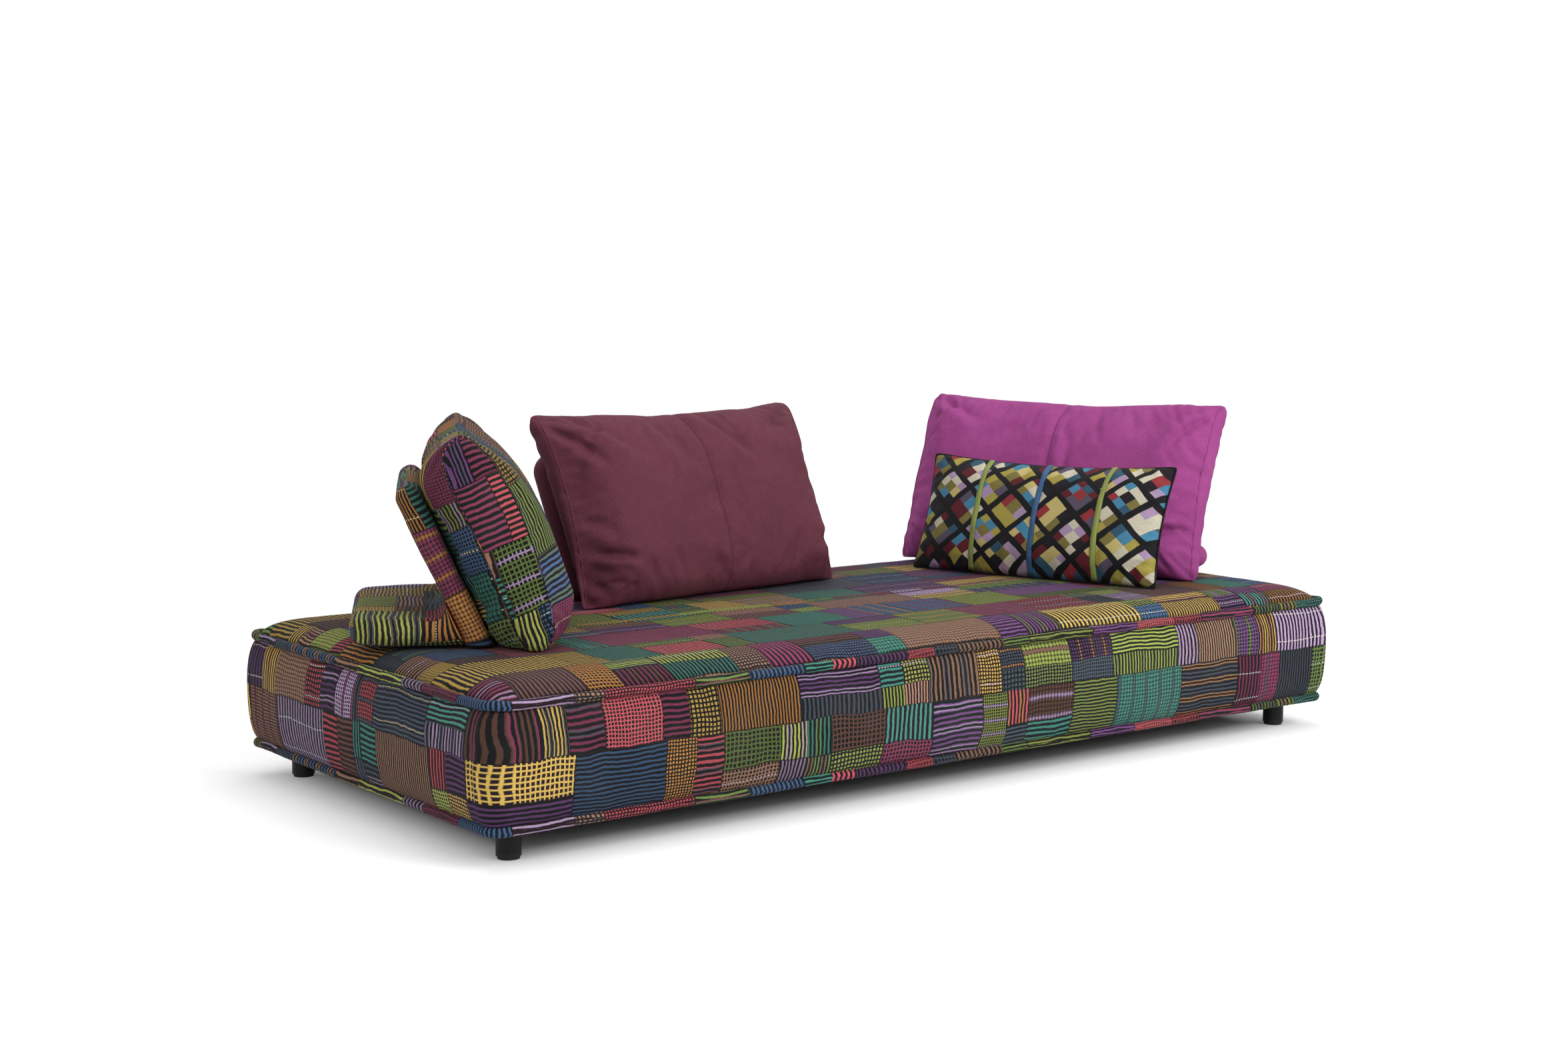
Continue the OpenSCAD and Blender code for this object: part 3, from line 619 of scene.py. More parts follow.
@dataclass(frozen=True)
class RawTimber(Finish):
    """Planed softwood or layered board with long grain."""

    light: str = "D8B98A"
    dark: str = "A67F4F"
    stretch: Triple = (5, 60, 60)

    def paint(self) -> Material:
        """Stretch rings along the grain and darken their lines."""
        board = Board(self.name)
        place = board.object_place()
        rings = board.noise(board.scaled(place, self.stretch), 1.0, 5, 0.6)
        fine = board.noise(board.scaled(place, (40, 700, 700)), 1.0, 2)
        tone = board.weighed((rings, 0.8), (fine, 0.2))
        stops = [(0.32, self.dark), (0.5, self.light), (0.62, self.dark), (0.75, self.light)]
        normal = board.bump(tone, 0.0006, 0.4)
        roughness = board.ramped(tone, 0.3, 0.7, 0.55, 0.8)
        return board.close(board.palette(tone, stops), roughness, normal, specular=0.35)


@dataclass(frozen=True)
class PlatedSteel(Finish):
    """Zinc-plated steel with faint spangle."""

    def paint(self) -> Material:
        """Vary the plating's tone and roughness."""
        board = Board(self.name)
        place = board.object_place()
        spangle = board.noise(place, 90.0, 3, 0.6)
        brushed = board.noise(board.scaled(place, (2200, 130, 2200)), 1.0, 2)
        colour = board.palette(spangle, [(0.3, "9A9FA3"), (0.6, "B9BDBF"), (0.8, "C9CBC8")])
        normal = board.bump(brushed, 0.0001, 0.4)
        return board.close(colour, board.ramped(spangle, 0.3, 0.7, 0.26, 0.45), normal, metallic=1.0)


@dataclass(frozen=True)
class SoftStock(Finish):
    """Foam, wadding, felt or webbing inside the upholstery, or plain backing cloth."""

    light: str
    dark: str
    grain: float
    depth: float
    pitch: float = 0.0

    def paint(self) -> Material:
        """Mottle the stock, and weave it where it has threads."""
        board = Board(self.name)
        place = board.object_place()
        pores = board.noise(place, self.grain, 3, 0.65)
        cloud = board.noise(place, self.grain / 14, 3)
        tone = board.weighed((pores, 0.6), (cloud, 0.4))
        colour = board.palette(tone, [(0.35, self.dark), (0.65, self.light)])
        normal = board.bump(pores, self.depth, 0.6)
        if self.pitch:
            relief = board.weave(place, self.pitch)
            colour = board.blend(board.times(relief, 0.35), colour, linear(self.dark))
            normal = board.bump(relief, self.depth, 0.7, normal)
        return board.close(colour, board.ramped(cloud, 0.3, 0.7, 0.8, 0.97), normal, sheen=0.05, specular=0.2)


@dataclass(frozen=True)
class DottedGrip(Finish):
    """Dark backing cloth with small rubber dots."""

    def paint(self) -> Material:
        """Set raised dots on a woven ground."""
        board = Board(self.name)
        place = board.object_place()
        grid = board.scaled(place, (160, 160, 160))
        inner = board.vector("SUBTRACT", board.vector("FRACTION", grid), (0.5, 0.5, 0.5))
        across, along, _ = board.split(inner)
        away = board.plus(board.maths("POWER", across, 2.0), board.maths("POWER", along, 2.0))
        dot = board.ramped(board.maths("SQRT", away), 0.24, 0.32, 1.0, 0.0)
        grain = board.noise(place, 500.0, 2)
        colour = board.palette(grain, [(0.3, "222126"), (0.7, "34323A")])
        colour = board.blend(dot, colour, linear("121214"))
        normal = board.bump(grain, 0.0003, 0.5, board.bump(dot, 0.0006, 0.8))
        return board.close(colour, board.ramped(dot, 0.0, 1.0, 0.9, 0.6), normal, specular=0.3)


class Finishes:
    """Every finish of the sofa, by what it covers."""

    patch_side = PatchCloth("patchwork_side_cloth", "patchwork", 1.0)
    patch_top = PatchCloth("patchwork_top_cloth", "patchwork", 2.0, block_width=0.24)
    patch_roll = PatchCloth("patchwork_roll_cloth", "patchwork", 3.0, block_height=0.5)
    patch_back = PatchCloth("patchwork_back_cloth", "patchwork", 4.0)
    patch_cushion = PatchCloth("patchwork_cushion_cloth", "patchwork", 6.0, block_width=0.15)
    maroon = PlainCloth("maroon_wool_cloth", "maroon_cloth", "441D26", "5E2E3B", "744450")
    magenta = PlainCloth("magenta_wool_cloth", "magenta_cloth", "7A2E6A", "96407F", "AE5A98")
    lumbar = DiamondCloth("diamond_lumbar_cloth", "lumbar_cloth")
    lumbar_edge = PlainCloth("black_edge_cloth", "lumbar_cloth", "0E0D0F", "19171A", "29262A")
    green = RibbonCloth("lime_ribbon_cloth", "green_ribbon", "929C4C", "5C6A2A")
    blue = RibbonCloth("blue_ribbon_cloth", "blue_ribbon", "34608E", "1C3A5C")
    legs = BlackPaint("black_leg_paint", "leg_black")
    glide = SoftStock("dark_glide_felt", "felt_glide", "3C3A38", "292826", 900.0, 0.0006)
    steel = PlatedSteel("zinc_plated_steel", "zinc_steel")
    timber = RawTimber("planed_frame_timber", "frame_timber")
    board = RawTimber("layered_back_board", "frame_timber", "CDAA78", "93703F", (9, 12, 420))
    webbing = SoftStock("elastic_webbing", "webbing", "49494D", "2A2A2D", 420.0, 0.0008, 0.0032)
    felt = SoftStock("pressed_felt", "felt", "8D8A86", "5B5855", 700.0, 0.0009)
    foam = SoftStock("cut_foam", "foam", "E9DFBE", "C9BC92", 520.0, 0.0009)
    wadding = SoftStock("carded_wadding", "wadding", "F2F0EA", "D2CFC6", 260.0, 0.002)
    dust = SoftStock("dust_cloth_weave", "dust_cloth", "2B2A2D", "161517", 800.0, 0.0004, 0.0012)
    grip = DottedGrip("dotted_grip_cloth", "grip_sheet")


def add_object(name: str, data: bpy.types.ID) -> Piece:
    """Link a new object to the scene."""
    made = bpy.data.objects.new(name, data)
    bpy.context.scene.collection.objects.link(made)
    return made


def ring_normals(rings: Array) -> Array:
    """Unit normals of closed rings that run with their outside on the right."""
    around = np.roll(rings, -1, axis=1) - np.roll(rings, 1, axis=1)
    return unit(np.cross(around, np.gradient(rings, axis=0)))


def lengths_along(rings: Array) -> Array:
    """Distance from the first ring along each column, averaged over the columns."""
    steps = np.linalg.norm(np.diff(rings, axis=0), axis=2).mean(axis=1)
    return np.concatenate([[0.0], np.cumsum(steps)])


def lengths_around(ring: Array) -> Array:
    """Distance from a ring's first point at each point, with the whole length last."""
    steps = np.linalg.norm(np.roll(ring, -1, axis=0) - ring, axis=1)
    return np.concatenate([[0.0], np.cumsum(steps)])


def flat_places(around: Array, along: Array) -> Array:
    """Flat places on a cloth, from the distances around and along its rings."""
    return np.stack(np.broadcast_arrays(around[None, :], along[:, None], 0.0), axis=2)


@dataclass
class Surface:
    """Points, faces and the flat place of every face corner on its cloth."""

    points: Array
    faces: Faces
    cloth: Flats

    @classmethod
    def of_rings(cls, rings: Array, cloth: Array, cap_start: bool = False, cap_end: bool = False) -> Surface:
        """Join closed rings of equal count into one surface.

        Args:
            rings: Points as rings by columns by 3.
            cloth: Flat places as rings by columns plus 1 by 3.
            cap_start: Whether the first ring is closed by strips.
            cap_end: Whether the last ring is closed by strips.

        Returns:
            The joined surface.
        """
        count, columns, _ = rings.shape
        faces: Faces = []
        flat: Flats = []
        for i in range(count - 1):
            for j in range(columns):
                k = (j + 1) % columns
                faces.append((i * columns + j, i * columns + k, (i + 1) * columns + k, (i + 1) * columns + j))
                corners = ((i, j), (i, j + 1), (i + 1, j + 1), (i + 1, j))
                flat.append(tuple(tuple(cloth[a, b]) for a, b in corners))
        for wanted, ring, turned in ((cap_start, 0, True), (cap_end, count - 1, False)):
            if wanted:
                made, places = cls._cap(columns, ring * columns, rings[ring], turned)
                faces.extend(made)
                flat.extend(places)
        return cls(rings.reshape(-1, 3), faces, flat)

    @staticmethod
    def _cap(columns: int, start: int, ring: Array, turned: bool) -> tuple[Faces, Flats]:
        """Close a ring that is even about its first point with strips across it.

        Args:
            columns: Points in the ring.
            start: Number of its first point.
            ring: Its points.
            turned: Whether the faces look the other way.

        Returns:
            The faces and their flat places.
        """
        faces: Faces = []
        flat: Flats = []
        for m in range(columns // 2):
            face = [m, m + 1, (columns - m - 1) % columns, (columns - m) % columns]
            face = list(dict.fromkeys(face))
            if len(face) < 3:
                continue
            if turned:
                face.reverse()
            faces.append(tuple(start + place for place in face))
            flat.append(tuple((float(ring[p][0]), float(ring[p][1]), 0.0) for p in face))
        return faces, flat

    @classmethod
    def of_tube(cls, rings: Array, cloth: Array) -> Surface:
        """Join rings into a tube whose last ring is its first.

        Args:
            rings: Points as rings by columns by 3.
            cloth: Flat places as rings by columns plus 1 by 3.

        Returns:
            The tube's surface.
        """
        made = cls.of_rings(rings, cloth)
        final = (len(rings) - 1) * rings.shape[1]
        made.faces = [tuple(p - final if p >= final else p for p in face) for face in made.faces]
        made.points = made.points[:final]
        return made

    def object(self, name: str) -> Piece:
        """Make a smooth mesh object that stores the flat places."""
        mesh = bpy.data.meshes.new(name)
        mesh.from_pydata(self.points.tolist(), [], self.faces)
        mesh.update()
        values = np.array([place for face in self.cloth for place in face], dtype=np.float32)
        store = mesh.attributes.new(CLOTH, "FLOAT_VECTOR", "CORNER")
        store.data.foreach_set("vector", values.ravel())
        mesh.shade_smooth()
        return add_object(name, mesh)


def settle(obj: Piece, body: str, finish: Finish, *nodes: str) -> Piece:
    """Dress a finished piece, let it ride on its body and stand for its nodes.

    Args:
        obj: The piece.
        body: Name of the body that carries it.
        finish: What covers it.
        *nodes: Names of the nodes that it stands for.

    Returns:
        The same piece.
    """
    obj.data.materials.clear()
    obj.data.materials.append(finish.material())
    if nodes:
        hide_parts(*nodes)
    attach(obj, body)
    LOG.info("%s rides on %s", obj.name, body)
    return obj


def dress_node(node: str, finish: Finish) -> None:
    """Give a rigid node its finish."""
    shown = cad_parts[node]
    if not shown.material_slots:
        shown.data.materials.append(finish.material())
    for place in shown.material_slots:
        place.material = finish.material()
    LOG.info("%s keeps its shape", node)


def softened_copy(node: str, body: str, finish: Finish, edge: float) -> Piece:
    """Stand a softer copy of an inner layer in its node's place.

    Args:
        node: The node's name.
        body: Name of the body that carries it.
        finish: What covers it.
        edge: Width of the rounding along its edges in metres.

    Returns:
        The new piece.
    """
    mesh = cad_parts[node].data.copy()
    mesh.name = f"{node}_layer"
    made = add_object(mesh.name, mesh)
    if edge:
        rounding = made.modifiers.new("soft edges", "BEVEL")
        rounding.width = edge
        rounding.segments = 2
        rounding.limit_method = "ANGLE"
        rounding.angle_limit = math.radians(50)
    settle(made, body, finish, node)
    return made


@dataclass(frozen=True)
class Outline:
    """A rounded rectangle in plan, walked from the middle of its left side towards the front."""

    length: float
    depth: float
    step: float = 0.011
    bend: int = 10

    def ring(self, inset: float, radius: float) -> Array:
        """Points of the outline at an inset.

        Args:
            inset: Distance inside the outline.
            radius: Corner radius there.

        Returns:
            Points as rows of x and y.
        """
        x = self.length / 2 - inset
        y = self.depth / 2 - inset
        long_count = round(self.length / self.step)
        short_count = round(self.depth / 2 / self.step)
        left_down = [(-x, -t * (y - radius)) for t in np.linspace(0, 1, short_count, endpoint=False)]
        corner = np.linspace(0, math.pi / 2, self.bend, endpoint=False)
        front_left = [(radius - x - radius * math.cos(a), radius - y - radius * math.sin(a)) for a in corner]
        front = [(t * (x - radius), -y) for t in np.linspace(-1, 1, long_count, endpoint=False)]
        front_right = [(x - radius + radius * math.sin(a), radius - y - radius * math.cos(a)) for a in corner]
        right_up = [(x, -(1 - t) * (y - radius)) for t in np.linspace(0, 1, short_count, endpoint=False)]
        half = left_down + front_left + front + front_right + right_up
        points = half + [(x, 0.0)] + [(a, -b) for a, b in half[:0:-1]]
        return np.array(points)


@dataclass
class Platform:
    """The low upholstered platform with its legs, frame and layers."""

    length: float = 2.4
    depth: float = 1.06
    bottom_seam: float = 0.075
    top_seam: float = 0.312
    crown_rise: float = 0.043
    crown_roll: float = 0.09
    side_swell: float = 0.032
    swell_power: float = 2.6
    roll_radius: float = 0.010
    corner: float = 0.044
    cloth_thickness: float = 0.003
    body: str = "platform"
    rails: tuple[str, ...] = ("front_rail", "back_rail", "left_end_rail", "right_end_rail")

    @property
    def outline(self) -> Outline:
        """The platform's outline over its rolled seams."""
        return Outline(self.length, self.depth)

    def build(self) -> None:
        """Make the covers, the rolled seams and the inner layers, and dress the rigid parts."""
        self.side()
        self.top()
        for node, height in (("bottom_rolled_seam", self.bottom_seam), ("top_rolled_seam", self.top_seam)):
            self.roll(node, height)
        self.layers()
        self.rigid_parts()

    def side(self) -> None:
        """Make the swelling side cover."""
        inset = self.roll_radius * 2
        radius = self.corner - inset
        low = self.bottom_seam + self.roll_radius * 0.4
        high = self.top_seam - self.roll_radius * 0.4
        shares = 0.5 - 0.5 * np.cos(np.linspace(0, math.pi, 31))
        rings = []
        for share in shares:
            swell = self.side_swell * math.sqrt(1 - abs(2 * share - 1) ** self.swell_power)
            flat = self.outline.ring(inset - swell, radius + swell)
            rings.append(np.column_stack([flat, np.full(len(flat), low + (high - low) * share)]))
        rings = np.array(rings)
        around = lengths_around(rings[0])
        up = lengths_along(rings)
        normal = ring_normals(rings)
        rings = rings + normal * self._side_unevenness(rings, around, up)[:, :, None]
        piece = Surface.of_rings(rings, flat_places(around, up)).object("side_cover")
        self._cover(piece, Finishes.patch_side, "side_border")

    def _side_unevenness(self, rings: Array, around: Array, up: Array) -> Array:
        """How far the side cover stands in or out of its even swell.

        Args:
            rings: The even rings.
            around: Distance around at each column.
            up: Distance up at each ring.

        Returns:
            Offsets in metres, rings by columns.
        """
        s, t = np.meshgrid(around[:-1], up)
        near = np.minimum(t, up[-1] - t)
        places = np.column_stack([rings[:, :, 0].ravel(), rings[:, :, 1].ravel() * 1.3, t.ravel() * 0.6])
        puckers = rippled(s, t * 0.15, 5, 0.022, 0.06)
        slow = ripple(places, 8, 0.25, 0.7).reshape(s.shape)
        folds = rippled(s, t * 0.5, 12, 0.09, 0.2)
        full = np.sin(math.pi * t / up[-1])
        offset = 0.0022 * puckers * np.exp(-near / 0.022) * np.minimum(1, near / 0.006)
        offset += 0.0022 * slow * full + 0.0014 * folds * full
        return offset - 0.0035 * self._upright_seams(s) * full

    def _upright_seams(self, around: Array) -> Array:
        """1 on the upright seams beside the corners, falling to 0 within a few millimetres."""
        half_depth = self.depth / 2 - self.corner
        bend = math.pi / 2 * (self.corner - self.roll_radius * 2)
        long_side = self.length - self.corner * 2
        total = float(around.max())
        places = [half_depth - 0.012, half_depth + bend * 2 + long_side + 0.012]
        places += [total - place for place in places]
        return sum(np.exp(-(((around - place) / 0.006) ** 2)) for place in places)

    def top(self) -> None:
        """Make the crowned top cover."""
        face = self.roll_radius * 2
        radius = self.corner - face
        rings = []
        excess = []
        run = 0.0
        for angle in np.linspace(0, math.pi / 2, 13):
            drawn = self.crown_roll * (1 - math.cos(angle))
            height = self.top_seam + self.crown_rise * math.sin(angle)
            flat = self.outline.ring(face + drawn, radius + drawn / 2)
            rings.append(np.column_stack([flat, np.full(len(flat), height)]))
            if len(rings) > 1:
                run += math.hypot(drawn - before[0], height - before[1])
            before = (drawn, height)
            excess.append((drawn, run))
        for inset in np.linspace(face + self.crown_roll, self.depth / 2 - 0.012, 34)[1:]:
            left = self.depth / 2 - inset
            flat = self.outline.ring(inset, min(radius + self.crown_roll / 2, left * 0.8))
            rings.append(np.column_stack([flat, np.full(len(flat), self.top_seam + self.crown_rise)]))
        rings = np.array(rings)
        rings[:, :, 2] += self._top_unevenness(rings)
        cloth = self._top_cloth(rings, excess)
        piece = Surface.of_rings(rings, cloth, cap_end=True).object("top_cover_cloth")
        self._cover(piece, Finishes.patch_top, "top_cover")

    def _top_cloth(self, rings: Array, excess: Sequence[tuple[float, float]]) -> Array:
        """Flat places of the top cover, which keep their scale over its rolled edge.

        Args:
            rings: The cover's rings.
            excess: Drawn-in distance and run for the rings of the edge.

        Returns:
            Flat places as rings by columns plus 1 by 3.
        """
        away = unit(rings[0, :, :2] - rings[len(excess) - 1, :, :2])
        flat = rings[:, :, :2].copy()
        for place, (drawn, run) in enumerate(excess):
            stretch = (excess[-1][1] - run) - (self.crown_roll - drawn)
            flat[place] += away * stretch
        flat += 3.0
        closed = np.concatenate([flat, flat[:, :1]], axis=1)
        return np.dstack([closed, np.zeros(closed.shape[:2])])

    def _top_unevenness(self, rings: Array) -> Array:
        """Soft rise and fall of the seat in metres, held below what stands on it."""
        places = rings.reshape(-1, 3)
        slow = ripple(places[:, :2], 21, 0.2, 0.55)
        fine = ripple(places[:, :2], 23, 0.05, 0.13)
        offset = (-0.0016 + 0.0011 * slow + 0.0004 * fine).reshape(rings.shape[:2])
        fade = np.ones(len(rings))
        fade[:6] = np.linspace(0, 1, 6)
        return np.minimum(offset, -0.0001) * fade[:, None]

    def _cover(self, piece: Piece, finish: Finish, node: str) -> None:
        """Give a cover its cloth's thickness on the inside and dress it.

        Args:
            piece: The cover.
            finish: Its cloth.
            node: The node that it stands for.
        """
        thick = piece.modifiers.new("cloth thickness", "SOLIDIFY")
        thick.thickness = self.cloth_thickness
        thick.offset = -1.0
        settle(piece, self.body, finish, node)

    def roll(self, node: str, height: float) -> None:
        """Make a rolled seam around the platform.

        Args:
            node: Name of the seam's node.
            height: Height of its middle.
        """
        middle = self.outline.ring(self.roll_radius, self.corner - self.roll_radius)
        around = lengths_around(np.column_stack([middle, np.zeros(len(middle))]))
        step = np.roll(middle, -1, axis=0) - np.roll(middle, 1, axis=0)
        out = unit(np.column_stack([step[:, 1], -step[:, 0]]))
        seed = 31 if height < 0.2 else 37
        corners = np.abs(np.abs(middle) - [self.length / 2, self.depth / 2])
        ear = np.exp(-((np.linalg.norm(corners, axis=1) / 0.034) ** 2)) * (0.006 if height > 0.2 else -0.003)
        thick = ripple(around[:-1, None], seed, 0.016, 0.05)
        lean = ripple(around[:-1, None], seed + 1, 0.2, 0.6)
        radius = self.roll_radius * (1.0 + 0.05 * thick)
        rings = []
        turns = np.linspace(0, 2 * math.pi, 15)
        for angle in turns[:-1]:
            reach = radius * math.cos(angle)
            level = height + radius * math.sin(angle) + 0.001 * lean + ear
            rings.append(np.column_stack([middle + out * reach[:, None], level]))
        rings.append(rings[0])
        rings = np.array(rings)
        surface = Surface.of_tube(rings, flat_places(around, turns * self.roll_radius))
        piece = surface.object(f"{node}_cloth")
        settle(piece, self.body, Finishes.patch_roll, node)

    def layers(self) -> None:
        """Stand softer copies in the place of the layers under the cover."""
        for node, finish, edge, fill in (
            ("foam_core", Finishes.foam, 0.006, 0.95),
            ("side_foam", Finishes.foam, 0.003, 0.9),
            ("felt_pad", Finishes.felt, 0.001, 0.8),
            ("topper", Finishes.wadding, 0.0, 0.8),
        ):
            softened_copy(node, self.body, finish, edge)
        dust = softened_copy("dust_cloth", self.body, Finishes.dust, 0.0)
        for node in ("cross_straps", "long_straps"):
            softened_copy(node, self.body, Finishes.webbing, 0.0004)

    def rigid_parts(self) -> None:
        """Dress the legs, their fittings and the frame."""
        legs = ("front_left_leg", "front_right_leg", "back_left_leg", "back_right_leg")
        for finish, nodes in (
            (Finishes.legs, legs),
            (Finishes.glide, ("leg_glides",)),
            (Finishes.steel, ("leg_studs", "leg_plates", "plate_screws")),
            (Finishes.timber, (*self.rails, "cross_rails", "corner_blocks")),
        ):
            for node in nodes:
                dress_node(node, finish)


class Place(Enum):
    """The three backrests, by where they stand."""

    LEFT = "left"
    MIDDLE = "middle"
    RIGHT = "right"


@dataclass(frozen=True)
class Stand:
    """Where a backrest's front line stands on the seat, and how it is turned."""

    x: float
    y: float
    turn: float
    seat: float = 0.355

    def place(self, points: Array) -> Array:
        """Move points from the backrest's own frame to the sofa's."""
        angle = math.radians(self.turn)
        cos, sin = math.cos(angle), math.sin(angle)
        turned = points @ np.array([[cos, sin, 0], [-sin, cos, 0], [0, 0, 1]])
        return turned + np.array([self.x, self.y, self.seat])


@dataclass
class Slab:
    """A padded slab with round edges, drawn ring by ring."""

    width: float
    thickness: float
    corner: float
    straight: int = 56
    turn: int = 8

    @property
    def half(self) -> float:
        """Half the thickness."""
        return self.thickness / 2

    def section(self, half_width: float, half: float) -> Array:
        """Cross-section with round sides, walked from the middle of the right side.

        Args:
            half_width: Half its width.
            half: Half its thickness.

        Returns:
            Pairs of across and out.
        """
        half = max(half, 1e-5)
        quarter = np.linspace(0, math.pi / 2, self.turn, endpoint=False)
        reach = half_width - half
        first = [(reach + half * math.cos(a), half * math.sin(a)) for a in quarter]
        top = [(t * reach, half) for t in np.linspace(1, -1, self.straight, endpoint=False)]
        last = [(-reach - half * math.sin(a), half * math.cos(a)) for a in quarter]
        upper = first + top + last
        points = upper + [(-half_width, 0.0)] + [(a, -b) for a, b in upper[:0:-1]]
        return np.array(points)

    def drawn_in(self, radius: float, distance: float) -> float:
        """How far a rounded end draws in at a distance from its tip."""
        if distance >= radius:
            return 0.0
        return radius - math.sqrt(radius**2 - (radius - distance) ** 2)

    def ending(self) -> list[tuple[float, Array]]:
        """Rings of the rounded end, furthest from the tip first.

        Returns:
            Pairs of a distance from the tip and the section there.
        """
        shares = [0.5 - 0.5 * math.cos(math.pi * k / 14) for k in range(14, 0, -1)]
        distances = {*(self.corner * s for s in shares), *(self.half * s for s in shares[6:])}
        distances = [d for d in sorted(distances, reverse=True) if d > self.half * 0.02]
        rings = []
        for distance in distances:
            section = self.section(
                self.width / 2 - self.drawn_in(self.corner, distance),
                self.half - self.drawn_in(self.half, distance),
            )
            rings.append((distance, section))
        return rings


@dataclass
class Backrest:
    """A loose backrest: padded shell, padded foot, non-slip sheet, plate and board."""

    place: Place
    stand: Stand
    width: float
    foot_reach: float
    cloth: Finish
    setback: float = 0.119
    lean: float = 25.0
    shell_thickness: float = 0.053
    shell_height: float = 0.340
    shell_corner: float = 0.052
    foot_thickness: float = 0.056
    foot_corner: float = 0.095
    fold_radius: float = 0.026
    pad_bottom: float = 0.0043

    @property
    def body(self) -> str:
        """Name of the backrest's body."""
        return f"{self.place.value}_backrest"

    @property
    def angle(self) -> float:
        """The lean in radians."""
        return math.radians(self.lean)

    def build(self) -> None:
        """Make the padded shell and foot, and dress what is under and inside them."""
        name = self.place.value
        self.shell()
        self.foot()
        grip = softened_copy(f"{name}_grip_sheet", self.body, Finishes.grip, 0.0004)
        dress_node(f"{name}_base_plate", Finishes.steel)
        dress_node(f"{name}_back_board", Finishes.board)

    def shell_point(self, across: Array, up: Array, out: Array) -> Array:
        """Place of a point in the shell.

        Args:
            across: Distance from its middle.
            up: Distance up along its lean.
            out: Distance behind its middle plane.

        Returns:
            Points as rows of 3.
        """
        half = self.shell_thickness / 2
        middle = self.setback + half / math.cos(self.angle)
        return np.column_stack(
            [
                across,
                middle + up * math.sin(self.angle) + out * math.cos(self.angle),
                up * math.cos(self.angle) - out * math.sin(self.angle),
            ]
        )

    def shell(self) -> None:
        """Make the padded shell."""
        slab = Slab(self.width, self.shell_thickness, self.shell_corner)
        run = (self.shell_height - slab.half * math.sin(self.angle)) / math.cos(self.angle)
        plain = slab.section(self.width / 2, slab.half)
        foot = (self.pad_bottom + plain[:, 1] * math.sin(self.angle)) / math.cos(self.angle)
        rings = [self.shell_point(plain[:, 0], foot, plain[:, 1])]
        start = self.pad_bottom / math.cos(self.angle) + slab.half * math.tan(self.angle) + 0.006
        for up in np.linspace(start, run - slab.corner, 26, endpoint=False):
            rings.append(self.shell_point(plain[:, 0], np.full(len(plain), up), plain[:, 1]))
        for distance, section in slab.ending():
            along = np.full(len(section), run - distance)
            rings.append(self.shell_point(section[:, 0], along, section[:, 1]))
        rings = np.array(rings)
        rings = self._uneven(rings, 41 + len(self.place.value), 0.0016)
        self._pad(rings, "shell", self.cloth, 0.0)

    def foot(self) -> None:
        """Make the padded foot, which folds up against the shell's back."""
        back = self.setback + self.shell_thickness / math.cos(self.angle)
        top = self.pad_bottom + self.foot_thickness
        half = self.foot_thickness / 2
        bend = math.radians(45 + self.lean / 2)
        fold_end = back + top * math.tan(self.angle) + self.fold_radius * math.tan(bend)
        corner = min(self.foot_corner, self.foot_reach - fold_end - 0.001)
        slab = Slab(self.width, self.foot_thickness, corner)
        plain = slab.section(self.width / 2, half)
        rise = (plain[:, 1] + half) / self.foot_thickness
        rings = []
        for share in np.linspace(0, 1, 11):
            angle = math.radians(180 - self.lean + share * (90 + self.lean))
            ring_y = fold_end + self.fold_radius * math.cos(angle)
            ring_z = top + self.fold_radius + self.fold_radius * math.sin(angle)
            foot_y = (back + self.pad_bottom * math.tan(self.angle)) * (1 - share) + fold_end * share
            level = self.pad_bottom + (ring_z - self.pad_bottom) * rise
            rings.append(np.column_stack([plain[:, 0], foot_y + (ring_y - foot_y) * rise, level]))
        flat_run = self.foot_reach - corner - fold_end
        middle = self.pad_bottom + half
        for y in fold_end + np.linspace(0, flat_run, max(3, round(flat_run / 0.012)), endpoint=False)[1:]:
            rings.append(np.column_stack([plain[:, 0], np.full(len(plain), y), middle + plain[:, 1]]))
        for distance, section in slab.ending():
            y = np.full(len(section), self.foot_reach - distance)
            rings.append(np.column_stack([section[:, 0], y, middle + section[:, 1]]))
        rings = np.array(rings)
        rings = self._uneven(rings, 51 + len(self.place.value), 0.0014)
        rings[:, :, 2] = np.maximum(rings[:, :, 2], self.pad_bottom)
        self._pad(rings, "foot", self.cloth, 2.0)

    def _uneven(self, rings: Array, seed: int, reach: float) -> Array:
        """Draw the padding a little in and out.

        Args:
            rings: The even rings.
            seed: Number that fixes the unevenness.
            reach: How far it goes in metres.

        Returns:
            The uneven rings.
        """
        around = np.roll(rings, -1, axis=1) - np.roll(rings, 1, axis=1)
        normal = unit(np.cross(np.gradient(rings, axis=0), around))
        places = rings.reshape(-1, 3)
        slow = ripple(places, seed, 0.12, 0.3)
        fine = ripple(places, seed + 7, 0.03, 0.07)
        amount = np.minimum(reach * (0.7 * slow + 0.3 * fine) - reach * 0.4, 0.0).reshape(rings.shape[:2])
        amount[:2] = 0.0
        outward = np.sign(((rings - rings.mean(axis=1, keepdims=True)) * normal).sum())
        return rings + normal * amount[:, :, None] * outward

    def _pad(self, rings: Array, part: str, finish: Finish, shift: float) -> None:
        """Turn rings into a placed and dressed pad.

        Args:
            rings: The pad's rings in the backrest's frame.
            part: Name of the part.
            finish: What covers it.
            shift: Added to the flat places, so that parts differ.
        """
        cloth = flat_places(lengths_around(rings[3]) + shift, lengths_along(rings) + shift)
        surface = Surface.of_rings(rings, cloth, cap_start=True, cap_end=True)
        surface.points = self.stand.place(surface.points)
        piece = surface.object(f"{self.place.value}_{part}_pad")
        correct_facing(piece)
        settle(piece, self.body, finish, f"{self.place.value}_{part}")


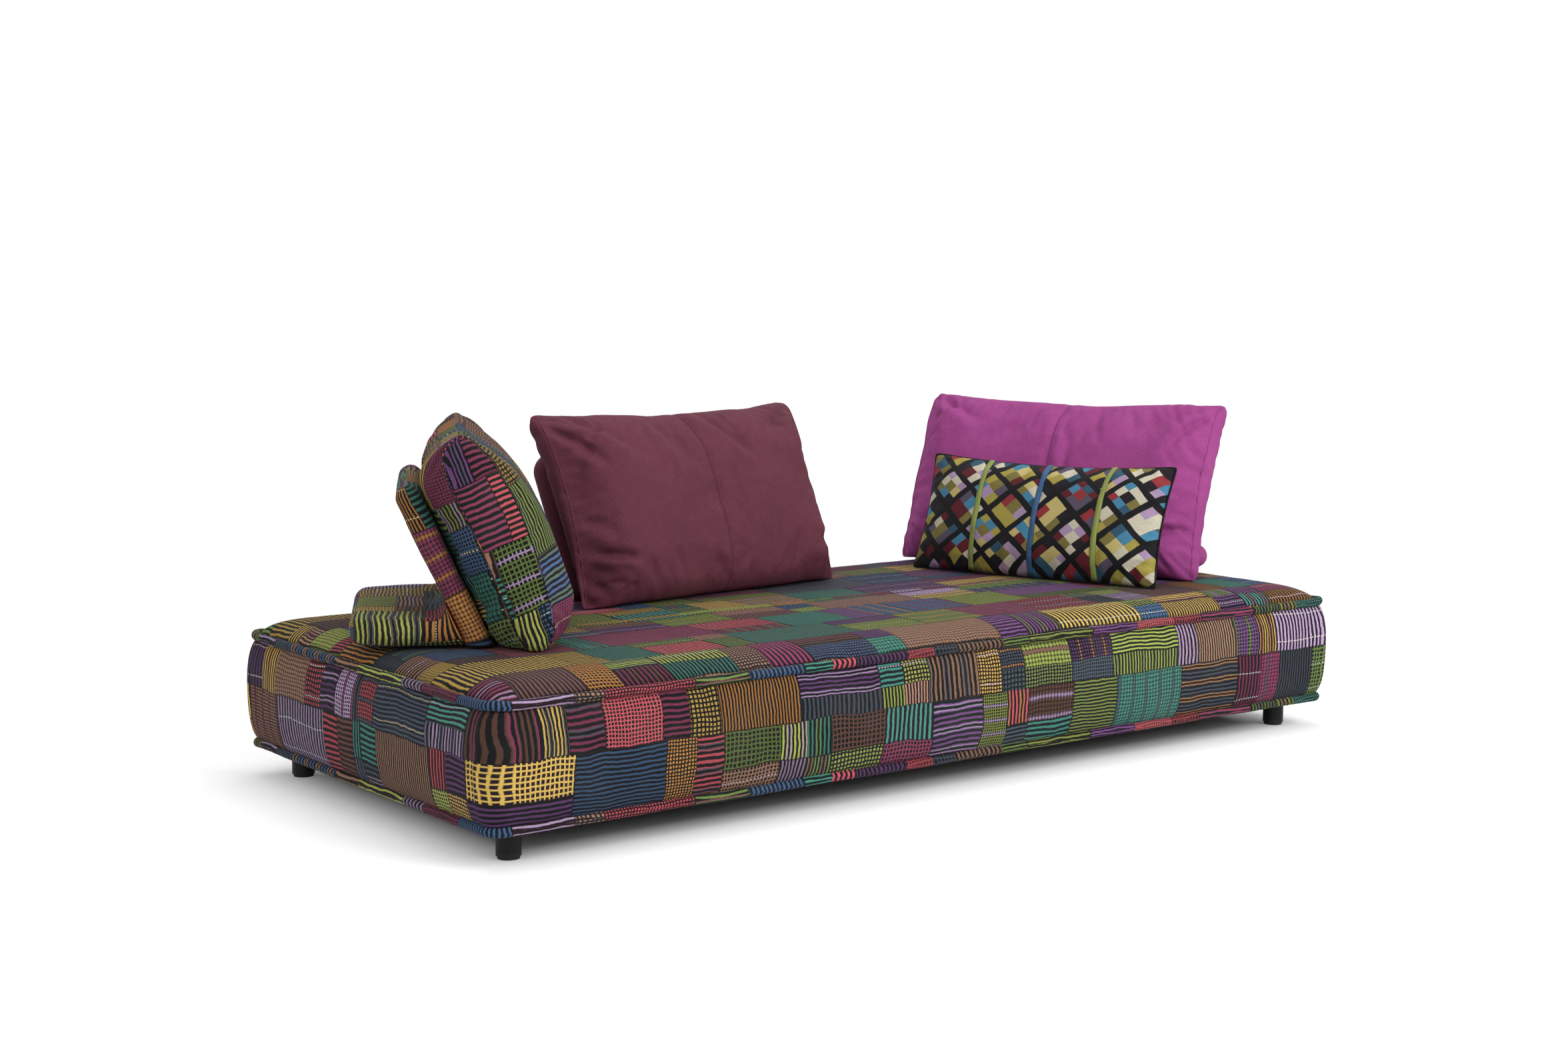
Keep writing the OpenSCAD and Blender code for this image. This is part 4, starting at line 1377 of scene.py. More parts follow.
def read_rows(items: bpy.types.bpy_prop_collection, key: str = "co") -> Array:
    """Read a triple from each of a mesh's items as rows of 3."""
    values = np.empty(len(items) * 3)
    items.foreach_get(key, values)
    return values.reshape(-1, 3)


def write_points(piece: Piece, points: Array) -> None:
    """Write a mesh object's points from rows of 3."""
    piece.data.vertices.foreach_set("co", np.ascontiguousarray(points, dtype=np.float64).ravel())
    piece.data.update()


def correct_facing(piece: Piece) -> None:
    """Turn a closed mesh's faces outwards if they look inwards."""
    mesh = piece.data
    mesh.calc_loop_triangles()
    points = read_rows(mesh.vertices)
    points = points - points.mean(axis=0)
    corners = np.empty(len(mesh.loop_triangles) * 3, dtype=np.int64)
    mesh.loop_triangles.foreach_get("vertices", corners)
    a, b, c = (points[corners.reshape(-1, 3)[:, k]] for k in range(3))
    if float(np.einsum("ij,ij->i", a, np.cross(b, c)).sum()) < 0:
        mesh.flip_normals()


@dataclass
class ClothPress:
    """Blows a closed cloth form up a little and lets it crease."""

    pressure: float = 4.0
    frames: int = 20
    cap: float = 0.024
    growth: float = 0.02

    def press(self, piece: Piece, held: Array) -> Array:
        """Run the cloth and give its points.

        Args:
            piece: The closed mesh.
            held: Weight from 0 to 1 for each point that stays in place.

        Returns:
            The points after the last frame, moved at most by the cap.
        """
        start = read_rows(piece.data.vertices)
        group = piece.vertex_groups.new(name="held")
        for number in np.nonzero(held > 0.01)[0]:
            group.add([int(number)], float(held[number]), "REPLACE")
        cloth = piece.modifiers.new("cloth", "CLOTH")
        settings = cloth.settings
        for key, value in (
            ("quality", 5),
            ("mass", 0.3),
            ("tension_stiffness", 12),
            ("compression_stiffness", 12),
            ("shear_stiffness", 4),
            ("bending_stiffness", 0.25),
            ("use_pressure", True),
            ("uniform_pressure_force", self.pressure),
            ("shrink_min", -self.growth),
            ("vertex_group_mass", group.name),
        ):
            setattr(settings, key, value)
        settings.effector_weights.gravity = 0
        cloth.point_cache.frame_start = 1
        cloth.point_cache.frame_end = self.frames
        scene = bpy.context.scene
        for number in range(1, self.frames + 1):
            scene.frame_set(number)
        shown = piece.evaluated_get(bpy.context.evaluated_depsgraph_get())
        points = read_rows(shown.to_mesh().vertices)
        shown.to_mesh_clear()
        piece.modifiers.remove(cloth)
        piece.vertex_groups.remove(group)
        scene.frame_set(1)
        move = points - start
        far = np.linalg.norm(move, axis=1, keepdims=True)
        return start + move * np.minimum(1.0, self.cap / np.maximum(far, 1e-9))


@dataclass(frozen=True)
class Fold:
    """A soft fold in a cushion's front, from one place on it to another."""

    start: tuple[float, float]
    end: tuple[float, float]
    depth: float
    width: float = 0.011

    def dent(self, x: Array, z: Array, half_width: float, half_height: float) -> Array:
        """Offset that the fold makes, with a soft ridge beside its dent.

        Args:
            x: Places across in metres.
            z: Places up in metres.
            half_width: Half the cushion's width.
            half_height: Half its height.

        Returns:
            Offsets in metres.
        """
        size = np.array([half_width, half_height])
        first = np.array(self.start) * size
        step = np.array(self.end) * size - first
        length = float(np.linalg.norm(step))
        along = ((x - first[0]) * step[0] + (z - first[1]) * step[1]) / length**2
        beside = ((x - first[0]) * step[1] - (z - first[1]) * step[0]) / length
        fade = np.clip(np.minimum(along + 0.08, 1.08 - along) / 0.35, 0, 1) ** 1.5
        width = self.width * (0.7 + 0.6 * np.clip(along, 0, 1))
        dent = -np.exp(-((beside / width) ** 2))
        ridge = 0.45 * np.exp(-(((beside - 1.9 * width) / (1.3 * width)) ** 2))
        return self.depth * fade * (dent + ridge)


class PillowGrid:
    """A front and a back grid of places that share their edge."""

    def __init__(self, across: Array, up: Array, width: float, height: float) -> None:
        """Spread the places over a cushion's faces.

        Args:
            across: Places across, from -1 to 1.
            up: Places up, from -1 to 1.
            width: The cushion's width.
            height: Its height.
        """
        self.across = across
        self.columns, self.rows = len(across), len(up)
        self.a, self.u = np.meshgrid(across, up, indexing="ij")
        self.x, self.z = self.a * width / 2, self.u * height / 2
        self.ends = (1 - np.abs(self.a)) * width / 2
        self.tops = (1 - np.abs(self.u)) * height / 2
        self.total = self.columns * self.rows + (self.columns - 2) * (self.rows - 2)

    def numbers(self, side: int) -> Array:
        """Numbers of a side's points as columns by rows: -1 is the front and 1 the back."""
        count = self.columns * self.rows
        numbers = np.arange(count).reshape(self.columns, self.rows)
        if side > 0:
            numbers[1:-1, 1:-1] = count + np.arange(self.total - count).reshape(self.columns - 2, -1)
        return numbers

    def gathered(self, *grids: Array) -> Array:
        """One value for each point, from the front's values and then the back's."""
        total = np.zeros(self.total)
        for side, values in zip((-1, 1), grids):
            total[self.numbers(side)] = values
        return total

    def surface(self, front: Array, back: Array, cloth: ClothMap) -> Surface:
        """Join both grids into a closed surface.

        Args:
            front: Front points as columns by rows by 3.
            back: Back points as columns by rows by 3.
            cloth: Gives a flat place from a side, the cell's column, the point's column and its row.

        Returns:
            The closed surface.
        """
        points = np.concatenate([front.reshape(-1, 3), back[1:-1, 1:-1].reshape(-1, 3)])
        faces: Faces = []
        flat: Flats = []
        for side in (-1, 1):
            numbers = self.numbers(side)
            for i in range(self.columns - 1):
                for j in range(self.rows - 1):
                    corners = [(i, j), (i + 1, j), (i + 1, j + 1), (i, j + 1)]
                    if side > 0:
                        corners.reverse()
                    faces.append(tuple(int(numbers[a, b]) for a, b in corners))
                    flat.append(tuple(cloth(side, i, a, b) for a, b in corners))
        return Surface(points, faces, flat)


def mixed_steps(count: int, gather: float) -> Array:
    """Places from -1 to 1 that gather towards both ends, one more than the cells."""
    even = np.linspace(-1, 1, count + 1)
    return (1 - gather) * even + gather * np.sin(even * math.pi / 2)


def blurred(values: Array, reach: int) -> Array:
    """Blur a grid of numbers along both of its ways, over a reach in cells."""
    weights = np.exp(-((np.arange(-2 * reach, 2 * reach + 1) / reach) ** 2))
    weights /= weights.sum()
    for axis in (0, 1):
        wide = np.pad(values, [(2 * reach, 2 * reach) if k == axis else (0, 0) for k in (0, 1)], mode="edge")
        values = np.apply_along_axis(lambda line: np.convolve(line, weights, mode="valid"), axis, wide)
    return values


class Pillow(ABC):
    """A closed cushion that is blown up and keeps the creases of its cloth."""

    stand: Stand
    body: str
    slack: float
    hold_height: float
    hold_fade: float
    blur: int
    crease: tuple[float, float]
    press: ClothPress

    @abstractmethod
    def face(self, grid: PillowGrid, side: int) -> Array:
        """Points of the front, -1, or the back, 1."""

    @abstractmethod
    def inside(self, grid: PillowGrid) -> Array:
        """1 in the middle of a face, falling towards its edge."""

    @abstractmethod
    def puckers(self, grid: PillowGrid) -> Array:
        """Offsets in metres of the creases beside the seams."""

    @abstractmethod
    def cloth_places(self, grid: PillowGrid) -> ClothMap:
        """Flat places of the face corners."""

    def blow(self, name: str, grid: PillowGrid) -> tuple[Piece, Array, Array]:
        """Make the even form, blow it up and keep its creases, but not its slow swell.

        Args:
            name: The piece's name.
            grid: The cushion's grids.

        Returns:
            The piece, its creased points and its normals.
        """
        surface = grid.surface(self.face(grid, -1), self.face(grid, 1), self.cloth_places(grid))
        piece = surface.object(name)
        full = surface.points
        normal = read_rows(piece.data.vertices, "normal")
        inside = self.inside(grid)
        start = full + normal * (self.puckers(grid) - self.slack * inside)[:, None]
        start[:, 2] = np.maximum(start[:, 2], REST_GAP)
        write_points(piece, start)
        held = np.maximum(np.clip(1 - full[:, 2] / self.hold_height, 0, 1), 1 - inside * self.hold_fade)
        blown = self.press.press(piece, held)
        stands = ((blown - full) * normal).sum(axis=1)
        slow = grid.gathered(*(blurred(stands[grid.numbers(side)], self.blur) for side in (-1, 1)))
        crease = np.clip((stands - slow) * 1.5, *self.crease)
        return piece, blown + normal * (crease - stands)[:, None], normal

    def lay(self, piece: Piece, points: Array, finish: Finish, node: str, fill: float) -> None:
        """Write the placed points, add one subdivision and dress the cushion.

        Args:
            piece: The cushion.
            points: Its placed points.
            finish: What covers it.
            node: The node that it stands for.
            fill: How full it is; not used.
        """
        write_points(piece, points)
        smooth = piece.modifiers.new("smooth", "SUBSURF")
        smooth.levels = smooth.render_levels = 1
        settle(piece, self.body, finish, node)

    def sew_welt(self, name: str, radius: float, line: Array, finish: Finish) -> None:
        """Lay a thin welt along a closed line.

        Args:
            name: The welt's name.
            radius: Its radius.
            line: Points of the line.
            finish: What covers it.
        """
        welt = Welt(radius).sweep(name, line)
        settle(welt, self.body, finish)


@dataclass
class BackCushion(Pillow):
    """A fat boxed cushion that stands on the seat and leans on its shell."""

    place: Place
    stand: Stand
    width: float
    cloth: Finish
    channel: float
    end_share: float
    end_swell: float
    side_draw: float
    low_end: float = 0.0
    back_share: float = 0.3
    top_forward: float = 0.0
    top_flat: float = 0.0
    height: float = 0.482
    lean: float = 23.5
    base: float = 0.029
    sink: float = 0.010
    slump: float = 0.012
    front_swell: float = 0.103
    back_swell: float = 0.100
    bottom_round: float = 0.080
    front_top_round: float = 0.135
    back_top_round: float = 0.058
    end_round: float = 0.012
    foot_draw: float = 0.034
    top_sag: float = 0.052
    corner: float = 0.030
    aside: float = 0.0
    crown_gain: float = 0.06
    setback: float = 0.119
    shell_lean: float = 25.0
    folds: tuple[Fold, ...] = ()
    slack: float = 0.006
    hold_height: float = 0.012
    hold_fade: float = 1.0
    blur: int = 7
    crease: tuple[float, float] = (-0.012, 0.0025)
    press: ClothPress = field(default_factory=ClothPress)

    @property
    def body(self) -> str:
        """Name of the cushion's body."""
        return f"{self.place.value}_back_cushion"

    def build(self) -> None:
        """Make the cushion, blow it up, sew its seams and dress it."""
        across = mixed_steps(round(self.width / 0.0088), 0.35)
        seam = 1 - self.end_round * 2 / self.width
        for place in (-seam, seam):
            across[np.argmin(np.abs(across - place))] = place
        grid = PillowGrid(across, mixed_steps(62, 0.45), self.width, self.height)
        piece, blown, normal = self.blow(f"{self.body}_cloth", grid)
        points = blown + normal * self._sewn(grid)[:, None]
        points[:, 2] = np.maximum(points[:, 2], REST_GAP)
        shell = math.radians(self.shell_lean)
        limit = self.setback - REST_GAP / math.cos(shell) + points[:, 2] * math.tan(shell)
        points[:, 1] = np.minimum(points[:, 1], limit)
        self.lay(piece, self.stand.place(points), self.cloth, f"{self.place.value}_cushion", 0.8)
        self._seams(read_rows(piece.data.vertices), grid)

    def inside(self, grid: PillowGrid) -> Array:
        """1 in the middle of a face, less towards its seams and 0 on the outermost ones."""
        inner = np.minimum(np.minimum(grid.ends, grid.tops) / 0.05, 1.0)
        inner = inner * (1 - 0.75 * np.exp(-(((grid.ends - self.end_round) / 0.007) ** 2)))
        return grid.gathered(inner, inner)

    def _sewn(self, grid: PillowGrid) -> Array:
        """Offsets in metres of the front's sewn middle channel and deep folds."""
        x, z = grid.x, grid.z
        fade = np.minimum(1, grid.tops / 0.02)
        amount = np.zeros(x.shape)
        if self.channel:
            beside = rippled(z, x * 0.2, 30 + len(self.place.value), 0.02, 0.05)
            near = np.exp(-np.abs(x) / 0.028) * (1 - np.exp(-((x / 0.008) ** 2)))
            amount -= self.channel * np.exp(-((x / 0.010) ** 2)) * fade
            amount += 0.0024 * beside * near * fade
        clear = np.clip(grid.ends / 0.03, 0, 1) * np.clip(grid.tops / 0.02, 0.0, 1)
        for fold in self.folds:
            amount += fold.dent(x, z, self.width / 2, self.height / 2) * clear
        return grid.gathered(amount)

    def _rounded(self, distance: Array, radius: float) -> Array:
        """Share of the full swell at a distance from an edge rounded with a radius."""
        inner = np.clip(1 - distance / radius, 0, 1)
        return np.sqrt(1 - inner**2)

    def face(self, grid: PillowGrid, side: int) -> Array:
        """Points of one face.

        Args:
            grid: The cushion's grids.
            side: -1 for the front and 1 for the back.

        Returns:
            Points as columns by rows by 3.
        """
        a, u, ends, edge = grid.a, grid.u, grid.ends, grid.tops
        angle = math.radians(self.lean)
        shell = math.radians(self.shell_lean)
        level = (u + 1) / 2
        past_end = np.clip(self.corner - ends, 0, None)
        past_edge = np.clip(self.corner - edge, 0, None)
        turn = np.maximum(past_end, past_edge) / np.maximum(np.hypot(past_end, past_edge), 1e-9)
        turn = np.where(np.minimum(past_end, past_edge) > 0, 1 - turn, 0.0)
        wide = grid.x - np.sign(a) * past_end * turn
        x = self.aside + wide * (1 - self.side_draw * (1 - u * u) - self.foot_draw * (1 - level))
        rise = self.height * level * (1 - self.top_sag * (1 - a * a) * level) - self.sink
        rise = rise - np.sign(u) * past_edge * turn
        beyond = np.clip((ends - self.end_round) / self.end_swell, 0, 1)
        share = (self.end_share if side < 0 else self.back_share) * (1 - self.low_end * (1 - level) ** 2)
        upper = np.clip(u, 0, 1) * (side < 0)
        full = share * self._rounded(ends, self.end_round)
        full = full + (1 - share) * (1 - (1 - beyond) ** 2) * (1 - upper**2) ** (3 * self.top_flat)
        full = full * (1 - self.top_flat * upper**3)
        top_round = self.front_top_round if side < 0 else self.back_top_round
        full = full * np.where(u < 0, self._rounded(edge, self.bottom_round), self._rounded(edge, top_round))
        crown = 1 - self.crown_gain + self.crown_gain * (1 - a * a) * (1 - u * u)
        forward = self.top_forward * level**2
        swell = self.front_swell - forward * 0.5 if side < 0 else self.back_swell + forward
        seam_y = self.base + rise * math.sin(angle) - self.slump * np.sin(level * math.pi)
        seam_y = seam_y - forward * math.cos(angle)
        seam_z = REST_GAP + rise * math.cos(angle) + forward * math.sin(angle)
        to_shell = (self.setback - REST_GAP / math.cos(shell) + seam_z * math.tan(shell) - seam_y) / (
            math.cos(angle) + math.sin(angle) * math.tan(shell)
        )
        out = side * np.minimum(swell if side < 0 else to_shell, swell * full * crown)
        z = np.maximum(REST_GAP, seam_z - out * math.sin(angle))
        return np.stack([x, seam_y + out * math.cos(angle), z], axis=2)

    def cloth_places(self, grid: PillowGrid) -> ClothMap:
        """Flat places on the front, the back and the end panels."""
        ends = grid.ends[:, 0]
        faces = {side: self.face(grid, side) for side in (-1, 1)}
        run = {}
        for side, points in faces.items():
            steps = np.linalg.norm(np.diff(points[grid.columns // 2], axis=0), axis=1)
            run[side] = -side * np.concatenate([[0.0], np.cumsum(steps)])
        middle = grid.columns / 2

        def place(side: int, cell: int, i: int, j: int) -> Triple:
            """Flat place of one face corner."""
            if min(ends[cell], ends[cell + 1]) < self.end_round * 0.99:
                seam, shift = (0, 5.0) if cell < middle else (-1, 8.0)
                out = side * float(np.linalg.norm(faces[side][i, j] - faces[-1][seam, j]))
                return (out + shift, float(grid.z[0, j]), 0.0)
            return (float(grid.x[i, 0]) + (1.5 if side > 0 else 0.0), float(run[side][j]), 0.0)

        return place

    def puckers(self, grid: PillowGrid) -> Array:
        """Offsets in metres of the creases that run out from the seams."""
        x, z, ends, tops = grid.x, grid.z, grid.ends, grid.tops
        seed = 60 + len(self.place.value)
        amounts = []
        for side in (-1, 1):
            sides = rippled(x * 0.25, z, seed + side, 0.022, 0.05) * np.exp(-ends / 0.045)
            corner = np.exp(-(ends + tops) / 0.11) * np.clip(np.minimum(ends, tops) / 0.02, 0.1, 1)
            pleat = rippled(x + z, (x - z) * 0.3, seed + 10 + side, 0.03, 0.07) * corner
            slow = rippled(x, z, seed + 20 + side, 0.14, 0.36)
            amounts.append(0.0014 * sides + 0.005 * pleat + 0.0045 * slow)
        return grid.gathered(*amounts)

    def _seams(self, points: Array, grid: PillowGrid) -> None:
        """Lay a thin welt along the seams of both end panels.

        Args:
            points: The cushion's placed points.
            grid: The cushion's grids.
        """
        ends = grid.ends[: grid.columns // 2, 0]
        left = int(np.argmin(np.abs(ends - self.end_round)))
        for label, column in (("left", left), ("right", grid.columns - 1 - left)):
            front = points[grid.numbers(-1)[column]]
            back = points[grid.numbers(1)[column]][::-1]
            loop = np.concatenate([front, back[1:-1]])
            self.sew_welt(f"{self.place.value}_cushion_{label}_seam", 0.0021, loop, self.cloth)


@dataclass(frozen=True)
class Welt:
    """A thin sewn ridge along a closed line."""

    radius: float
    sides: int = 8

    def sweep(self, name: str, line: Array) -> Piece:
        """Sweep the ridge along the line.

        Args:
            name: The piece's name.
            line: Points of a closed line.

        Returns:
            The ridge.
        """
        keep = np.linalg.norm(np.roll(line, -1, axis=0) - line, axis=1) > 1e-4
        line = line[keep]
        for _ in range(2):
            line = (np.roll(line, 1, axis=0) + line * 2 + np.roll(line, -1, axis=0)) / 4
        ahead = unit(np.roll(line, -1, axis=0) - np.roll(line, 1, axis=0))
        side = unit(np.cross(ahead, np.linalg.svd(line - line.mean(axis=0))[2][2]))
        lift = np.cross(side, ahead)
        rings = []
        angles = np.linspace(0, 2 * math.pi, self.sides, endpoint=False)
        for angle in [*angles, angles[0]]:
            rings.append(line + self.radius * (side * math.cos(angle) + lift * math.sin(angle)))
        rings = np.array(rings)
        around = lengths_around(line)
        flat = flat_places(around, np.arange(len(rings)) * self.radius * 0.8)
        piece = Surface.of_tube(rings, flat).object(name)
        correct_facing(piece)
        return piece


@dataclass
class LumbarCushion(Pillow):
    """A knife-edged cushion with three ribbons sewn down its front."""

    stand: Stand
    width: float = 0.680
    height: float = 0.308
    lean: float = 21.0
    front_swell: float = 0.062
    back_swell: float = 0.058
    side_draw: float = 0.035
    top_sag: float = 0.06
    ribbon_width: float = 0.015
    ribbon_thickness: float = 0.0018
    ribbon_places: tuple[float, ...] = (-0.47, 0.03, 0.55)
    body: str = "lumbar"
    slack: float = 0.006
    hold_height: float = 0.006
    hold_fade: float = 3.0
    blur: int = 6
    crease: tuple[float, float] = (-0.008, 0.0015)
    press: ClothPress = field(default_factory=lambda: ClothPress(cap=0.02, growth=0.015))

    def build(self) -> None:
        """Make the cushion, blow it up, sew its ribbons and its edge, and dress it."""
        grid = PillowGrid(self._columns(), mixed_steps(50, 0.4), self.width, self.height)
        piece, blown, _ = self.blow("lumbar_cushion_cloth", grid)
        blown[:, 2] = np.maximum(blown[:, 2], REST_GAP)
        placed = self.stand.place(blown)
        self.lay(piece, placed, Finishes.lumbar, "lumbar_cushion", 0.7)
        self._ribbons(placed, grid)
        numbers = grid.numbers(-1)
        edge = [*numbers[:, 0], *numbers[-1, 1:], *numbers[-2::-1, -1], *numbers[0, -2:0:-1]]
        self.sew_welt("lumbar_edge_seam", 0.0024, placed[np.array(edge)], Finishes.lumbar_edge)

    def _columns(self) -> Array:
        """Places across, with both edges and the middle of each ribbon."""
        places = list(mixed_steps(76, 0.35))
        half = self.ribbon_width / self.width
        for middle in self.ribbon_places:
            places = [place for place in places if abs(place - middle) > half * 1.25]
            places += [middle - half, middle, middle + half]
        return np.array(sorted(places))

    def face(self, grid: PillowGrid, side: int) -> Array:
        """Points of one face.

        Args:
            grid: The cushion's grids.
            side: -1 for the front and 1 for the back.

        Returns:
            Points as columns by rows by 3.
        """
        a, u = grid.a, grid.u
        angle = math.radians(self.lean)
        x = grid.x * (1 - self.side_draw * (1 - u * u))
        rise = self.height * (u + 1) / 2 * (1 - self.top_sag * (1 - a * a) * u * np.maximum(u, 0))
        full = np.sqrt(np.maximum((1 - a**4) * (1 - u**4), 0))
        room = self.front_swell * full
        if side > 0:
            room = np.minimum(self.back_swell * full, rise / math.tan(angle))
        out = side * room
        y = rise * math.sin(angle) + out * math.cos(angle)
        z = REST_GAP + rise * math.cos(angle) - out * math.sin(angle)
        return np.stack([x, y, z], axis=2)

    def inside(self, grid: PillowGrid) -> Array:
        """1 in the middle of a face and 0 at its edge, for each point."""
        inner = np.clip(np.minimum(1 - np.abs(grid.a), 1 - np.abs(grid.u)) / 0.12, 0, 1)
        return grid.gathered(inner, inner)

    def puckers(self, grid: PillowGrid) -> Array:
        """Offsets in metres of the creases at the edge seam and beside the ribbons."""
        x, z, ends, tops = grid.x, grid.z, grid.ends, grid.tops
        amounts = []
        for side in (-1, 1):
            rows = rippled(z, x * 0.2, 80 + side, 0.018, 0.04)
            cols = rippled(x, z * 0.2, 84 + side, 0.018, 0.045)
            amount = 0.0022 * rows * np.exp(-ends / 0.03) * np.minimum(1, ends / 0.008)
            amount += 0.0022 * cols * np.exp(-tops / 0.03) * np.minimum(1, tops / 0.008)
            amount += 0.002 * rippled(x, z, 88 + side, 0.1, 0.25)
            if side < 0:
                for middle in self.ribbon_places:
                    away = np.abs(x - middle * self.width / 2)
                    amount -= 0.0022 * np.exp(-((away / 0.012) ** 2))
            amounts.append(amount * np.minimum(1, np.minimum(ends, tops) / 0.02))
        return grid.gathered(*amounts)

    def cloth_places(self, grid: PillowGrid) -> ClothMap:
        """Flat places on the front and the back."""

        def place(side: int, _cell: int, i: int, j: int) -> Triple:
            """Flat place of one face corner."""
            return (float(grid.x[i, 0]) + (1.2 if side > 0 else 0.0), float(grid.z[0, j]), 0.0)

        return place

    def _ribbons(self, points: Array, grid: PillowGrid) -> None:
        """Lay the ribbons on the cushion's front.

        Args:
            points: The cushion's placed points.
            grid: The cushion's grids.
        """
        front = points[grid.numbers(-1)]
        normal = unit(np.cross(np.gradient(front, axis=0), np.gradient(front, axis=1)))
        if float((normal.mean(axis=(0, 1)) * (front.mean(axis=(0, 1)) - points.mean(axis=0))).sum()) < 0:
            normal = -normal
        columns = [int(np.argmin(np.abs(grid.across - middle))) for middle in self.ribbon_places]
        left, middle, right = (self._strip(front, normal, column) for column in columns)
        for name, node, finish, strips in (
            ("lime_ribbons", "green_ribbons", Finishes.green, (left, right)),
            ("blue_ribbon_strip", "blue_ribbon", Finishes.blue, (middle,)),
        ):
            settle(self._merged(strips).object(name), self.body, finish, node)

    def _strip(self, front: Array, normal: Array, column: int) -> Surface:
        """Make one ribbon as a closed strip on three columns of the front.

        Args:
            front: The front's points.
            normal: The front's outward normals.
            column: The ribbon's middle column.

        Returns:
            The strip's surface.
        """
        low, high = 0.0004, 0.0004 + self.ribbon_thickness
        lifts = ((-1, low), (0, low), (1, low), (1, high), (0, high * 1.1), (-1, high))
        rows = range(1, front.shape[1] - 1)
        rings = np.array(
            [[front[column + k, j] + normal[column + k, j] * up for k, up in lifts] for j in rows]
        )
        half = self.ribbon_width / 2
        wide = np.array([-half, 0, half, half, 0, -half, -half])
        surface = Surface.of_rings(rings, flat_places(wide, lengths_along(rings)))
        for start, step in ((0, -1), ((len(rings) - 1) * len(lifts), 1)):
            for face in ((0, 1, 4, 5), (1, 2, 3, 4)):
                surface.faces.append(tuple(start + p for p in face[::step]))
                surface.cloth.append(tuple((float(wide[p]), 0.0, 0.0) for p in face[::step]))
        return surface

    def _merged(self, parts: Sequence[Surface]) -> Surface:
        """Join several surfaces into one."""
        merged = Surface(np.concatenate([part.points for part in parts]), [], [])
        start = 0
        for part in parts:
            merged.faces.extend(tuple(p + start for p in face) for face in part.faces)
            merged.cloth.extend(part.cloth)
            start += len(part.points)
        return merged


